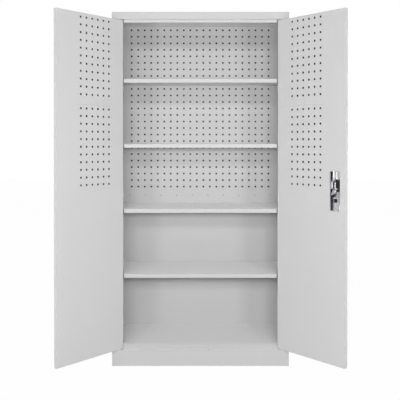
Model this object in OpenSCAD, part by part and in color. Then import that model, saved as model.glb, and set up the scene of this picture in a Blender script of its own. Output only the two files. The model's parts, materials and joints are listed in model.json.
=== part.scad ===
// Steel tool cabinet with two hinged doors, peg panels, four shelves and a rod lock.
// Millimetres. +Z is up and the doors open towards -Y.
// The origin is on the floor, in the middle of the plinth's foot flange.
// The doors are modelled standing open at their stops.

/* [Carcass] */
// Width over the side panels
body_w = 900; // [860:1:960]
// Depth from the front flanges to the rear flanges
body_d = 450; // [420:1:500]
// Height from the floor to the top of the cabinet
body_h = 1800; // [1770:1:1840]
// Thickness of the sheet steel
sheet = 1; // [0.8:0.1:1.2]
// Bend radius of the sheet steel, at the middle of its thickness
bend_r = 1.5; // [1.2:0.1:1.8]
// Width of the front flange beside each door
flange_w = 13; // [12:0.5:16]
// Height of the plinth
plinth_h = 80; // [70:1:80]
// Height of the rail above the doors
rail_h = 35; // [33:1:40]
// Depth of the ledges above and below the doors
ledge_d = 24; // [23:0.5:26]
// Drop of the door stop under the top ledge
stop_drop = 15; // [12:1:18]
// Width of the jamb behind each front flange
jamb_w = 52; // [48:1:56]
// Depth of the return on the inner side of each jamb
jamb_return = 30; // [20:1:34]
// Width of the flanges at the back and on the floor
rear_flange_w = 20; // [15:1:25]
// Width of the plinth's foot flange
foot_w = 20; // [16:1:23]
// Height of the narrow flanges folded along hidden edges
fold_w = 16; // [12:1:20]
// Height of the floor panel over the floor
floor_z = 105; // [102:1:110]
// Run of the sloped front edge of the floor panel
floor_slope = 10; // [8:0.5:12]

/* [Doors] */
// Thickness of a door
door_t = 20; // [19:0.5:21]
// Gap between the two closed doors
door_gap = 4; // [3:0.5:6]
// Gap between a door and the flange beside it
side_gap = 3; // [2.5:0.1:4]
// Gap between a door and the ledges above and below it
end_gap = 6; // [5:0.1:7]
// Angle at which the doors stand open
open_angle = 129; // [110:1:130]
// Hinge axis to the hinge edge of the door
pivot_inset = 18; // [17:0.5:20]
// Hinge axis to the outer face of the door
pivot_depth = 8; // [7.8:0.1:9]
// Width of the box stile along the free edge
stile_w = 114; // [110:1:120]
// Height of the recessed liner's top edge over the floor
liner_top_z = 886; // [840:1:900]
// Height of the seam between the two perforated door panels
door_seam_z = 1320; // [1310:1:1332]
// Recess of the liner behind the inner face of the door
liner_recess = 2; // [1.5:0.1:3]
// Width of the flange along the bottom of the door's inner face
door_lip = 11; // [8:0.5:14]
// Width of the stiffening channel inside each door
stiffener_w = 22; // [16:1:24]

/* [Hinges] */
// Diameter of the hinge pins
pin_d = 8; // [7:0.1:8.4]
// Running clearance of a pin in its bush, on the radius
pin_clear = 0.05; // [0.03:0.01:0.1]
// Wall of the hinge bush
bush_wall = 1.45; // [1.2:0.05:1.6]
// Length of the hinge bush inside the door
bush_l = 18; // [15:1:22]
// Thickness of the hinge bush's collar
collar_t = 2; // [1.5:0.1:2.2]
// Width of the hinge bush's collar
collar_d = 15; // [13.5:0.1:15.4]
// Gap between a thrust washer and the bush's collar
thrust_gap = 0.3; // [0.3:0.05:0.5]

/* [Peg holes] */
// Side of a square peg hole
peg_hole = 9.5; // [6:0.1:12]
// Distance between peg holes
peg_pitch = 37; // [34:0.5:37.5]
// Columns of peg holes in each door
door_columns = 6; // [3:1:6]
// Rows of peg holes in each door panel
door_rows = 11; // [6:1:11]
// Hinge edge of the door to its first column of holes
door_first_column = 98; // [90:1:104]
// Top edge of each perforated door panel to its first row of holes
upper_first_row = 20; // [18:0.5:24]
// Top edge of the lower door panel to its first row
lower_first_row = 18.5; // [16:0.5:24]
// Columns of peg holes in the back
back_columns = 22; // [12:1:22]
// Rows of peg holes in the back
back_rows = 25; // [12:1:25]
// Top of the cabinet to the back's first row of holes
back_first_row = 23; // [20:0.5:30]
// Distance from the peg panel's face to the back panel
peg_standoff = 14; // [12:0.5:20]
// Height of the peg panel's bottom edge, behind the second shelf
peg_bottom_z = 780; // [770:1:790]

/* [Shelves] */
// Height of the lowest shelf
shelf_first_z = 464; // [440:1:470]
// Distance from shelf to shelf
shelf_pitch = 333.5; // [330:0.5:335]
// Height of a shelf's front lip
shelf_lip = 20; // [17:0.5:24]
// Height of a shelf's side flanges
shelf_side = 16; // [12:0.5:16]
// Height of a shelf's rear lip
shelf_rear = 11; // [8:0.5:12]
// Gap between a shelf and the jamb beside it
shelf_jamb_gap = 7; // [5:0.5:9]
// Gap between a shelf's rear lip and the peg panel
shelf_rear_gap = 2; // [1:0.5:4]
// Width of an upright
upright_w = 30; // [26:1:34]
// Depth of an upright, from its face to the side panel
upright_d = 9; // [8:0.5:11]
// Gap between an upright's face and the shelf flange
clip_gap = 3; // [2.6:0.1:4]
// Thickness of a shelf clip
clip_t = 2; // [1.6:0.1:2.2]
// Slots in an upright for each distance from shelf to shelf
slots_per_pitch = 10; // [6:1:12]

/* [Lock] */
// Width of the lock case
case_w = 63; // [60:1:66]
// Height of the lock case
case_h = 188; // [184:1:196]
// Wall of the lock case
case_wall = 1.6; // [1.4:0.1:2]
// Thickness of the lock case's floor
case_floor = 3; // [2.5:0.1:3.2]
// Height of the lock case's middle over the floor
lock_z = 908; // [890:1:920]
// Middle of the lock case to the free edge of the door
lock_inset = 60; // [58:0.5:64]
// Border of the outer bezel round the lock case
bezel_border = 6; // [4:0.5:8]
// Thickness of the outer bezel
bezel_t = 3; // [2:0.5:3.5]
// Middle of the case to the spindle, towards the hinge
spindle_offset = 6; // [4:0.5:8]
// Diameter of the spindle
spindle_d = 12; // [11:0.5:12.5]
// Length of the handle lever from the spindle
lever_l = 92; // [80:1:100]
// Height of the lever's boss, which sets the finger room behind the grip
boss_h = 18; // [14:0.5:24]
// Thickness of the lever's grip
grip_t = 9; // [7:0.5:11]
// Radius of the pins on the cam
cam_r = 18; // [16:0.5:18.5]
// Diameter of the cam's pins
cam_pin_d = 5; // [4:0.5:5.5]
// Angle through which the handle turns
handle_turn = 90; // [80:1:90]
// Diameter of the lock rods
rod_d = 8; // [7:0.5:8.5]
// Width of the flat strap at a rod's end
strap_w = 8; // [7:0.5:8.5]
// Thickness of a rod's strap
strap_t = 3; // [2.5:0.1:3]
// Middle of the case to the upper rod, towards the hinge
upper_rod_offset = 15.5; // [14:0.5:16]
// Middle of the case to the lower rod, towards the free edge
lower_rod_offset = 20; // [19:0.5:22]
// Spindle to the seam between the upper rod's strap and its hook, upwards
upper_hook_reach = 12; // [9:0.5:13]
// Spindle to the seam between the lower rod's strap and its hook, downwards
lower_hook_reach = 1; // [0:0.5:4]
// Spindle to the top of the lower rod's hook plate
lower_hook_top = 46; // [42:1:50]
// Thickness of the guide strip along the hinge side of the case
guide_t = 1.2; // [1:0.1:1.4]
// Gap between a drawn rod's tip and the end of the door
rod_tip_gap = 3; // [2:0.5:6]
// Clearance round a rod in its guides
rod_clear = 0.3; // [0.3:0.05:0.6]
// Diameter of the key cylinder
key_d = 18; // [16:0.5:18]
// Diameter of the key plug
plug_d = 12; // [10:0.5:12.5]
// Spindle to the key cylinder, downwards
key_drop = 44; // [42:0.5:46]

/* [Hidden] */
$fn = 48;
half_w = body_w / 2;
front_y = -foot_w / 2;
half_sheet = sheet / 2;
bend_inner = bend_r - half_sheet;
bend_outer = bend_r + half_sheet;
edge_x = half_w - flange_w;                 // inner edge of the front flange
door_w = edge_x - side_gap - door_gap / 2;
door_hinge_x = edge_x - side_gap;           // hinge edge of a closed door
pivot_x = door_hinge_x - pivot_inset;
swing_r = norm([pivot_inset, door_t - pivot_depth]);
swing_gap = 1.4;                            // jamb to the corner of the door as it swings
jamb_y = pivot_depth + swing_r + swing_gap; // front of the jamb's stop face
jamb_x = half_w - jamb_w;                   // inner side of the jamb
jamb_back_y = jamb_y + jamb_return;
ledge_top_z = body_h - rail_h;
door_top_z = ledge_top_z - (end_gap - 1);
door_z = plinth_h + end_gap;
door_h = door_top_z - door_z;
lip_x = jamb_x - shelf_jamb_gap;            // end of the lips between the jambs
back_y = body_d - 2 * sheet;                // inner face of the back panel
peg_y = back_y - peg_standoff;              // front face of the peg panel
fit_gap = 0.3;                              // gap between sheets that only lie side by side
cut = 5;                                    // reach of a cut past the sheet it goes through
side_wall_x = half_w - sheet;               // inner face of a side panel
upright_x = side_wall_x - upright_d;        // face of an upright
shelf_x = upright_x - clip_gap;             // end of a shelf behind the jambs
shelf_front_y = jamb_y - 1;
shelf_back_y = peg_y - shelf_rear_gap;
shelf_notch_y = jamb_back_y + 5;            // shelf widens behind this
upright_front_y = shelf_notch_y + 12;
upright_rear_y = shelf_back_y - 48;
slot_pitch = shelf_pitch / slots_per_pitch;
slot_h = 10;
slot_w = 4;
upright_low_z = floor_z + 60;
upright_high_z = ledge_top_z - stop_drop - 20;
peg_top_z = body_h - 2 * sheet;
peg_half_w = side_wall_x - upright_d - 1;
back_half_w = side_wall_x - bend_inner - fit_gap;
back_top_z = body_h - sheet - bend_inner - fit_gap;
lock_u = door_w - lock_inset;               // lock case along the door, from the hinge edge
stile_u = door_w - stile_w;
rod_depth = door_t / 2;
strap_top = rod_depth + rod_d / 2;          // inner face of the straps
strap_low = strap_top - strap_t;
cam_low = strap_top + 1;
cam_t = 3;
cam_high = cam_low + cam_t;
case_top_z = lock_z + case_h / 2;
case_low_z = lock_z - case_h / 2;
spindle_u = lock_u - spindle_offset;
spindle_z = lock_z - 2;
key_u = spindle_u - 2;
key_z = spindle_z - key_drop;
rod_travel = 2 * cam_r * sin(handle_turn / 2);
linear_error = 0.032 * cam_r;               // pin height against an even rate of travel
slot_clear = linear_error + 0.3;
pin_dx = cam_r * cos(handle_turn / 2);      // cam pin beside the spindle with the rods drawn
pin_dz = cam_r * sin(handle_turn / 2);
hook_slot_half = cam_pin_d / 2 + slot_clear;
hook_slot_in = pin_dx - cam_pin_d / 2 - fit_gap;    // ends of the hooks' slots, from the spindle
hook_slot_out = cam_r + cam_pin_d / 2 + fit_gap;
hook_rim = 3;                               // least width of a hook beside its slot
case_in_half = case_w / 2 - case_wall;      // middle of the case to the inner side of its wall
// The upper strap runs beside the guide strip
upper_strap_u = lock_u - case_in_half + guide_t + 2 * fit_gap + strap_w / 2;
lower_strap_u = lock_u + 13;
lower_hook_u = lock_u + case_in_half - 5;   // free edge's side of the lower rod's hook
hook_nose_r = 9;
bearing_d = spindle_d + 8;                  // boss in the case round the spindle
boss_d = spindle_d + 12;                    // boss of the lever
spindle_sq = 8;                             // square end of the spindle
cam_boss_d = 22;
cam_screw_d = 5;
bezel_collar_t = 3;                         // collar of the bezel under the lever's boss
bezel_r = 10;
bezel_step = 1.5;                           // width of the step round the bezel's edge
lock_screw_inset = 14;
tongue_l = 12;
tongue_w = 7;
tongue_t = 2;
tongue_v = strap_top + 0.4;                 // outer side of the key's tongue
tongue_screw_d = 3;
upper_rod_u = lock_u - upper_rod_offset;
lower_rod_u = lock_u + lower_rod_offset;
upper_tip_z = door_top_z - rod_tip_gap;
lower_tip_z = door_z + rod_tip_gap;
strap_end = case_h / 2 - case_wall - rod_travel - 2;    // straps stay inside the case as the rods move
rod_start = strap_end - 8;
strap_bend = rod_start - 4;                 // end of the step in a strap, from the middle of the case
upper_step_h = 14;
lower_step_h = 10;
keeper_hole_d = rod_d + 3;
keeper_w = keeper_hole_d + 33;
keeper_depth = keeper_hole_d + 6;
keeper_t = 2;
washer_d = collar_d;
head_d = pin_d + 3.5;
head_t = 3;
rivet_d = 4;
rivet_head_d = 8;
rivet_head_t = 1;
peg_rail_z = peg_bottom_z + 60;             // row of rivets under the peg holes
peg_rivets = 10;
peg_rivet_pitch = 88.9;
peg_rivet_xs = [for (i = [0 : peg_rivets - 1]) (i - (peg_rivets - 1) / 2) * peg_rivet_pitch];
back_screws_high = 6;
back_screw_d = 4;
back_screw_end = 50;                        // outermost screws to the floor panel and to the top

paint = [0.82, 0.82, 0.82];
zinc = [0.72, 0.73, 0.75];
chrome = [0.88, 0.89, 0.9];
blackened = [0.12, 0.12, 0.13];
nylon = [0.93, 0.92, 0.88];

// ---------------------------------------------------------------- helpers

// Puts a shape drawn behind the front plane into the cabinet's place
module behind_front() {
    translate([0, front_y, 0]) children();
}

// Draws a right-hand shape on both sides
module both_sides() {
    children();
    mirror([1, 0, 0]) children();
}

// Extrudes an outline drawn in depth and height across the cabinet, from x0 to x1
module across(x0, x1) {
    translate([x0, 0, 0]) rotate([90, 0, 90]) linear_extrude(x1 - x0) children();
}

function unit(v) = v / norm(v);

// One straight run of folded sheet, seen end on
module sheet_run(a, b, cut_a, cut_b) {
    along = unit(b - a);
    out = [-along[1], along[0]] * half_sheet;
    p = a + along * cut_a;
    q = b - along * cut_b;
    polygon([p + out, p - out, q - out, q + out]);
}

// One square bend of folded sheet, seen end on
module sheet_bend(before, corner, after) {
    d0 = unit(corner - before);
    d1 = unit(after - corner);
    centre = corner - d0 * bend_r + d1 * bend_r;
    reach = bend_r + half_sheet;
    intersection() {
        translate(centre) difference() {
            circle(r = reach);
            circle(r = bend_r - half_sheet);
        }
        polygon([centre, centre + d0 * reach, centre + (d0 - d1) * reach, centre - d1 * reach]);
    }
}

// Folded sheet seen end on: straight runs joined by round bends
module folded(path) {
    last = len(path) - 2;
    for (i = [0 : last]) {
        cut_a = i == 0 ? 0 : bend_r;
        cut_b = i == last ? 0 : bend_r;
        sheet_run(path[i], path[i + 1], cut_a, cut_b);
    }
    if (last > 0) {
        for (i = [1 : last]) sheet_bend(path[i - 1], path[i], path[i + 1]);
    }
}

// Block from one corner to the opposite one
module block(low, high) {
    translate(low) cube(high - low);
}

// Upright cylinder between two heights
module post(x, y, z0, z1, d) {
    translate([x, y, z0]) cylinder(d = d, h = z1 - z0);
}

// Cylinder through the door's thickness
module door_bore(u, z, v0, v1, d) {
    translate([u, v0, z]) rotate([-90, 0, 0]) cylinder(d = d, h = v1 - v0);
}

// Grid of square holes, seen face on, first hole at the upper left
module hole_grid(columns, rows) {
    for (i = [0 : columns - 1]) {
        for (j = [0 : rows - 1]) {
            translate([i * peg_pitch, -j * peg_pitch]) square(peg_hole, center = true);
        }
    }
}

// Flat plate in the plane of the front, from depth y0 to y1, drawn in x and z
module upright_plate(y0, y1) {
    translate([0, y1, 0]) rotate([90, 0, 0]) linear_extrude(y1 - y0) children();
}

// ---------------------------------------------------------------- carcass

// Outline of the right side panel: rear flange, wall, front flange, rebate, stop face, return
module side_outline() {
    folded([
        [half_w - rear_flange_w, body_d - half_sheet],
        [half_w - half_sheet, body_d - half_sheet],
        [half_w - half_sheet, half_sheet],
        [edge_x + half_sheet, half_sheet],
        [edge_x + half_sheet, jamb_y + half_sheet],
        [jamb_x + half_sheet, jamb_y + half_sheet],
        [jamb_x + half_sheet, jamb_back_y]
    ]);
}

module side_panel() {
    behind_front() {
        difference() {
            linear_extrude(body_h - sheet) side_outline();
            back_screw_places() back_screw_hole();
        }
        // Foot flange, folded in along the floor, up to the back panel
        block([half_w - rear_flange_w, jamb_back_y, 0], [half_w - half_sheet, back_y - fit_gap, sheet]);
    }
}

module left_side_panel() {
    color(paint) mirror([1, 0, 0]) side_panel();
}

module right_side_panel() {
    color(paint) side_panel();
}

// Hinge pin holes through a ledge, on both sides
module pin_holes(z) {
    both_sides() post(pivot_x, pivot_depth, z - cut, z + cut, pin_d + 2 * pin_clear);
}

module top_panel() {
    color(paint) behind_front() {
        difference() {
            across(-edge_x, edge_x) folded([
                [body_d - half_sheet, body_h - rear_flange_w],
                [body_d - half_sheet, body_h - half_sheet],
                [half_sheet, body_h - half_sheet],
                [half_sheet, ledge_top_z + half_sheet],
                [ledge_d - half_sheet, ledge_top_z + half_sheet],
                [ledge_d - half_sheet, ledge_top_z - stop_drop]
            ]);
            // The stop lip ends beside the swing of the doors
            both_sides() block(
                [lip_x, ledge_d - cut, ledge_top_z - stop_drop - cut],
                [half_w, ledge_d + cut, ledge_top_z]
            );
            // The rear flange ends beside the rear flanges of the sides
            both_sides() block(
                [half_w - rear_flange_w - fit_gap, body_d - cut, 0],
                [half_w, body_d + cut, body_h - sheet - fit_gap]
            );
            pin_holes(ledge_top_z);
            post(door_x(upper_rod_u), rod_depth, ledge_top_z - cut, ledge_top_z + cut, keeper_hole_d);
        }
        // Top sheet over the side panels
        both_sides() block([edge_x, 0, body_h - sheet], [half_w, body_d, body_h]);
    }
}

module back_panel() {
    color(paint) behind_front() {
        difference() {
            block([-back_half_w, back_y, 0], [back_half_w, back_y + sheet, back_top_z]);
            both_sides() back_screw_places() back_screw_hole();
        }
    }
}

// Places of the screws through the right-hand rear flange
module back_screw_places() {
    low = floor_z + back_screw_end;
    high = body_h - 2 * back_screw_end;
    run = (high - low) / (back_screws_high - 1);
    for (i = [0 : back_screws_high - 1]) {
        translate([half_w - rear_flange_w / 2 - sheet, body_d, low + i * run]) children();
    }
}

// Clearance hole for a back screw
module back_screw_hole() {
    rotate([90, 0, 0]) translate([0, 0, -3]) cylinder(d = back_screw_d + 2 * pin_clear, h = 10);
}

module back_screws() {
    shank_l = 2 * sheet + 3.5;
    head_r = back_screw_d + 1;
    head_d = 2 * back_screw_d;
    head_drop = sqrt(head_r * head_r - head_d * head_d / 4) + 0.2;
    color(zinc) behind_front() both_sides() back_screw_places() {
        // Shank through the flange and the back panel
        rotate([90, 0, 0]) translate([0, 0, -0.5]) cylinder(d = back_screw_d - 0.2, h = shank_l + 0.5);
        // Low round head
        intersection() {
            translate([0, -head_drop, 0]) sphere(r = head_r);
            rotate([-90, 0, 0]) cylinder(d = head_d, h = 2);
        }
    }
}

module floor_panel() {
    lip_front = [ledge_d + half_sheet, floor_z - floor_slope - half_sheet];
    lip_back = [ledge_d + floor_slope + half_sheet, floor_z - half_sheet];
    slope_out = [-1, 1] * half_sheet * sqrt(0.5);
    color(paint) behind_front() {
        difference() {
            union() {
                across(-side_wall_x, side_wall_x) {
                    // Pan and rear flange
                    folded([
                        lip_back,
                        [back_y - half_sheet, lip_back[1]],
                        [back_y - half_sheet, floor_z - fold_w]
                    ]);
                    // Sloped edge
                    polygon([
                        lip_front + slope_out, lip_front - slope_out, lip_back - slope_out, lip_back + slope_out
                    ]);
                    translate(lip_front) circle(d = sheet);
                    translate(lip_back) circle(d = sheet);
                    // Lip down to the plinth
                    translate([ledge_d, plinth_h]) square([sheet, lip_front[1] - plinth_h]);
                }
            }
            // Notches round the jambs
            both_sides() block([jamb_x - fit_gap, 0, 0], [half_w, jamb_back_y + fit_gap, floor_z + cut]);
        }
    }
}

module plinth() {
    color(paint) behind_front() {
        difference() {
            across(-edge_x, edge_x) folded([
                [foot_w, half_sheet],
                [half_sheet, half_sheet],
                [half_sheet, plinth_h - half_sheet],
                [ledge_d - half_sheet, plinth_h - half_sheet],
                [ledge_d - half_sheet, plinth_h - fold_w]
            ]);
            pin_holes(plinth_h);
            post(door_x(lower_rod_u), rod_depth, plinth_h - cut, plinth_h + cut, keeper_hole_d);
        }
    }
}

// ---------------------------------------------------------------- peg back

module peg_back_panel() {
    first_x = -(back_columns - 1) * peg_pitch / 2;
    color(paint) behind_front() {
        difference() {
            across(-peg_half_w, peg_half_w) folded([
                [back_y - half_sheet, peg_top_z - fold_w],
                [back_y - half_sheet, peg_top_z - half_sheet],
                [peg_y + half_sheet, peg_top_z - half_sheet],
                [peg_y + half_sheet, peg_bottom_z + half_sheet],
                [back_y - half_sheet, peg_bottom_z + half_sheet],
                [back_y - half_sheet, peg_bottom_z + fold_w]
            ]);
            upright_plate(peg_y - 1, peg_y + 2 * sheet) {
                translate([first_x, body_h - back_first_row]) hole_grid(back_columns, back_rows);
                peg_rivet_places() circle(d = rivet_d);
            }
        }
    }
}

// Row of rivet places under the peg holes, seen face on
module peg_rivet_places() {
    for (x = peg_rivet_xs) translate([x, peg_rail_z]) children();
}

// Hat channel on the back panel, which carries the foot of the peg panel
module peg_rail() {
    half_face = 13;
    lower_flange = 4;
    end_x = peg_half_w - 6;
    face_y = peg_y + sheet + half_sheet;
    color(paint) behind_front() {
        difference() {
            across(-end_x, end_x) folded([
                [back_y - half_sheet, peg_rail_z - half_face - lower_flange],
                [back_y - half_sheet, peg_rail_z - half_face],
                [face_y, peg_rail_z - half_face],
                [face_y, peg_rail_z + half_face],
                [back_y - half_sheet, peg_rail_z + half_face],
                [back_y - half_sheet, peg_rail_z + half_face + fold_w]
            ]);
            upright_plate(peg_y, peg_y + 4 * sheet) peg_rivet_places() circle(d = rivet_d);
        }
    }
}

// Low rivets with bevelled heads through the peg panel and the rail
module peg_rivets() {
    head_r = rivet_head_d / 2;
    shank_r = rivet_d / 2 - 0.1;
    color(paint) behind_front() for (x = peg_rivet_xs) translate([x, peg_y, peg_rail_z])
        rotate([90, 0, 0]) rotate_extrude() polygon([
            [0, -3 * sheet], [shank_r, -3 * sheet], [shank_r, 0], [head_r, 0],
            [head_r, rivet_head_t / 2], [head_r - rivet_head_t, rivet_head_t], [0, rivet_head_t]
        ]);
}

// ---------------------------------------------------------------- shelves and uprights

function shelf_z(i) = shelf_first_z + (i - 1) * shelf_pitch;
function clip_slot_z(i) = shelf_z(i) - shelf_side + slot_h / 2;

// Slotted channel on the right-hand wall, with its first edge at depth y0
module upright(y0) {
    y1 = y0 + upright_w;
    slots_down = floor((clip_slot_z(1) - upright_low_z) / slot_pitch);
    slots_up = floor((upright_high_z - clip_slot_z(1)) / slot_pitch);
    color(paint) behind_front() {
        difference() {
            translate([0, 0, upright_low_z]) linear_extrude(upright_high_z - upright_low_z) folded([
                [side_wall_x, y0 + half_sheet],
                [upright_x + half_sheet, y0 + half_sheet],
                [upright_x + half_sheet, y1 - half_sheet],
                [side_wall_x, y1 - half_sheet]
            ]);
            for (k = [-slots_down + 1 : slots_up - 1]) {
                for (y = slot_lines(y0)) {
                    translate([upright_x, y, clip_slot_z(1) + k * slot_pitch])
                        cube([3 * sheet, slot_w, slot_h], center = true);
                }
            }
        }
    }
}

// Two lines of slots in an upright
function slot_lines(y0) = [y0 + upright_w / 2 - 6, y0 + upright_w / 2 + 6];

module upright_front_left() {
    mirror([1, 0, 0]) upright(upright_front_y);
}

module upright_front_right() {
    upright(upright_front_y);
}

module upright_rear_left() {
    mirror([1, 0, 0]) upright(upright_rear_y);
}

module upright_rear_right() {
    upright(upright_rear_y);
}

// Shelf with a rolled front lip, side flanges and a rear lip
module shelf(i) {
    z = shelf_z(i);
    lip_return = 9;
    color(paint) behind_front() {
        difference() {
            across(-shelf_x, shelf_x) folded([
                [shelf_front_y + lip_return, z - shelf_lip + half_sheet],
                [shelf_front_y + half_sheet, z - shelf_lip + half_sheet],
                [shelf_front_y + half_sheet, z - half_sheet],
                [shelf_back_y - half_sheet, z - half_sheet],
                [shelf_back_y - half_sheet, z - shelf_rear]
            ]);
            both_sides() block([lip_x, 0, z - shelf_lip - cut], [half_w, shelf_notch_y, z + cut]);
        }
        both_sides() {
            block(
                [shelf_x - sheet, shelf_notch_y, z - shelf_side],
                [shelf_x, shelf_back_y - bend_r, z - half_sheet]
            );
            block(
                [lip_x - sheet, shelf_notch_y, z - shelf_side],
                [shelf_x - half_sheet, shelf_notch_y + sheet, z - half_sheet]
            );
            block(
                [lip_x - sheet, shelf_front_y + half_sheet, z - shelf_lip],
                [lip_x, shelf_notch_y + half_sheet, z - half_sheet]
            );
        }
    }
}

module shelf_1() {
    shelf(1);
}

module shelf_2() {
    shelf(2);
}

module shelf_3() {
    shelf(3);
}

module shelf_4() {
    shelf(4);
}

// Clip on the right-hand upright whose first edge is at depth y0, hooked into two slots
module clip(y0, z) {
    foot_z = z - shelf_side;
    foot_l = 16;
    nose_cut = 5;
    half_clip = upright_w / 2 - 4;
    mid_y = y0 + upright_w / 2;
    difference() {
        union() {
            // Plate against the upright, and the foot under the shelf
            block(
                [upright_x - clip_t, mid_y - half_clip, foot_z - clip_t],
                [upright_x, mid_y + half_clip, foot_z + slot_h]
            );
            block(
                [upright_x - foot_l, mid_y - half_clip, foot_z - clip_t],
                [upright_x, mid_y + half_clip, foot_z]
            );
        }
        // Bevelled corners of the foot
        for (s = [-1, 1]) {
            translate([upright_x - foot_l, mid_y + s * half_clip, foot_z - clip_t / 2])
                rotate([0, 0, 45]) cube([nose_cut, nose_cut, 3 * clip_t], center = true);
        }
    }
    // Hooks through the slots, turned down behind the face
    half_hook = slot_w / 2 - fit_gap;
    hook_drop = 4;
    hook_x = upright_x + sheet + fit_gap / 2;
    hook_low = foot_z + fit_gap;
    hook_top = foot_z + slot_h - fit_gap;
    for (y = slot_lines(y0)) {
        block([upright_x - half_sheet, y - half_hook, hook_low], [hook_x + clip_t, y + half_hook, hook_top]);
        block([hook_x, y - half_hook, foot_z - hook_drop], [hook_x + clip_t, y + half_hook, hook_top]);
    }
}

// The four clips under one shelf
module shelf_clips(i) {
    color(zinc) behind_front() both_sides() {
        clip(upright_front_y, shelf_z(i));
        clip(upright_rear_y, shelf_z(i));
    }
}

module shelf_clips_1() {
    shelf_clips(1);
}

module shelf_clips_2() {
    shelf_clips(2);
}

module shelf_clips_3() {
    shelf_clips(3);
}

module shelf_clips_4() {
    shelf_clips(4);
}

// ---------------------------------------------------------------- hinges and keepers on the carcass

module hinge_pins() {
    color(zinc) behind_front() both_sides() {
        // Lower pin, headed under the plinth's ledge
        post(pivot_x, pivot_depth, plinth_h - sheet - head_t, plinth_h - sheet, head_d);
        post(pivot_x, pivot_depth, plinth_h - sheet - 1, door_z + bush_l - 2, pin_d);
        // Upper pin, headed on the top ledge
        post(pivot_x, pivot_depth, ledge_top_z + sheet, ledge_top_z + sheet + head_t, head_d);
        post(pivot_x, pivot_depth, door_top_z - bush_l + 2, ledge_top_z + sheet + 1, pin_d);
    }
}

// Ring round a hinge pin
module pin_ring(z0, z1, d) {
    difference() {
        post(pivot_x, pivot_depth, z0, z1, d);
        post(pivot_x, pivot_depth, z0 - 1, z1 + 1, pin_d + 2 * pin_clear);
    }
}

module thrust_washers() {
    color(nylon) behind_front() both_sides() {
        pin_ring(plinth_h, door_z - collar_t - thrust_gap, washer_d);
        pin_ring(door_top_z + collar_t + thrust_gap, ledge_top_z, washer_d);
    }
}

// Striker plates round the rod holes in the ledges
module rod_keepers() {
    color(zinc) behind_front() {
        keeper(door_x(upper_rod_u), ledge_top_z + sheet);
        keeper(door_x(lower_rod_u), plinth_h - sheet - keeper_t);
    }
}

module keeper(x, z) {
    difference() {
        translate([x - keeper_w / 2, bend_outer + fit_gap, z]) cube([keeper_w, keeper_depth, keeper_t]);
        post(x, rod_depth, z - 1, z + keeper_t + 1, keeper_hole_d);
    }
}

// ---------------------------------------------------------------- doors
// A door is drawn in its own place: u runs from the hinge edge to the free edge,
// v from the outer face to the inner face, and z up.

// Place across the cabinet of a point of the closed right-hand door
function door_x(u) = door_hinge_x - u;

// Puts a door's shape into the opened right-hand door
module in_right_door() {
    translate([pivot_x, front_y + pivot_depth, 0]) rotate([0, 0, open_angle])
        translate([pivot_inset, -pivot_depth, 0]) mirror([1, 0, 0]) children();
}

// Puts a door's shape into the opened left-hand door
module in_left_door() {
    mirror([1, 0, 0]) in_right_door() children();
}

// Outline with the two corners on the outer face rounded
module eased_rect(w, d, r) {
    translate([0, r]) square([w, d - r]);
    translate([r, 0]) square([w - 2 * r, r]);
    for (x = [r, w - r]) translate([x, r]) circle(r = r);
}

// Block of a door's outer form, rounded along all four edges of its outer face
module eased_block(w, d, h, r) {
    intersection() {
        linear_extrude(h) eased_rect(w, d, r);
        translate([0, 0, h]) rotate([0, 90, 0]) linear_extrude(w) eased_rect(h, d, r);
    }
}

module door_skin(with_lock) {
    color(paint) difference() {
        union() {
            difference() {
                translate([0, 0, door_z]) eased_block(door_w, door_t, door_h, bend_outer);
                translate([sheet, sheet, door_z + sheet])
                    eased_block(door_w - 2 * sheet, door_t, door_h - 2 * sheet, bend_inner);
            }
            // Inner flange along the bottom
            block([half_sheet, door_t - sheet, door_z], [stile_u, door_t, door_z + door_lip]);
        }
        // Holes for the hinge bushes
        post(pivot_inset, pivot_depth, door_z - 1, door_z + 2 * sheet, bush_d());
        post(pivot_inset, pivot_depth, door_top_z - 2 * sheet, door_top_z + 1, bush_d());
        if (with_lock) {
            lock_opening(-1, 2 * sheet);
            post(upper_rod_u, rod_depth, door_top_z - 3, door_top_z + 1, rod_d + 2 * rod_clear);
            post(lower_rod_u, rod_depth, door_z - 1, door_z + 3, rod_d + 2 * rod_clear);
        }
    }
}

function bush_d() = pin_d + 2 * pin_clear + 2 * bush_wall;

// Opening for the lock case, from depth v0 to v1
module lock_opening(v0, v1) {
    block(
        [lock_u - case_w / 2, v0, case_low_z],
        [lock_u + case_w / 2, v1, case_top_z]
    );
}

// Box stile along the free edge: a face, and one wall down to a flange on the skin
module door_stile(with_lock) {
    flange = 12;
    low = door_z + sheet + bend_inner;
    high = door_top_z - sheet - bend_inner;
    color(paint) difference() {
        union() {
            block([stile_u, door_t - sheet, door_z + sheet], [door_w - sheet, door_t, door_top_z - sheet]);
            block([stile_u, sheet, low], [stile_u + sheet, door_t - half_sheet, high]);
            block([stile_u, sheet, low], [stile_u + flange, 2 * sheet, high]);
        }
        if (with_lock) lock_opening(door_t - 3 * sheet, door_t + 1);
    }
}

// Perforated panel between two heights
module door_peg_panel(z0, z1, first_row) {
    color(paint) difference() {
        block([sheet, door_t - sheet, z0], [stile_u, door_t, z1]);
        upright_plate(door_t - 2 * sheet, door_t + 1)
            translate([door_first_column, z1 - first_row]) hole_grid(door_columns, door_rows);
    }
}

module door_upper_peg_panel() {
    door_peg_panel(door_seam_z + fit_gap, door_top_z - sheet, upper_first_row);
}

module door_lower_peg_panel() {
    // The lower edge is folded in, down to the liner
    door_peg_panel(liner_top_z, door_seam_z, lower_first_row);
    color(paint) block(
        [sheet, door_t - liner_recess, liner_top_z],
        [stile_u, door_t - half_sheet, liner_top_z + sheet]
    );
}

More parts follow.
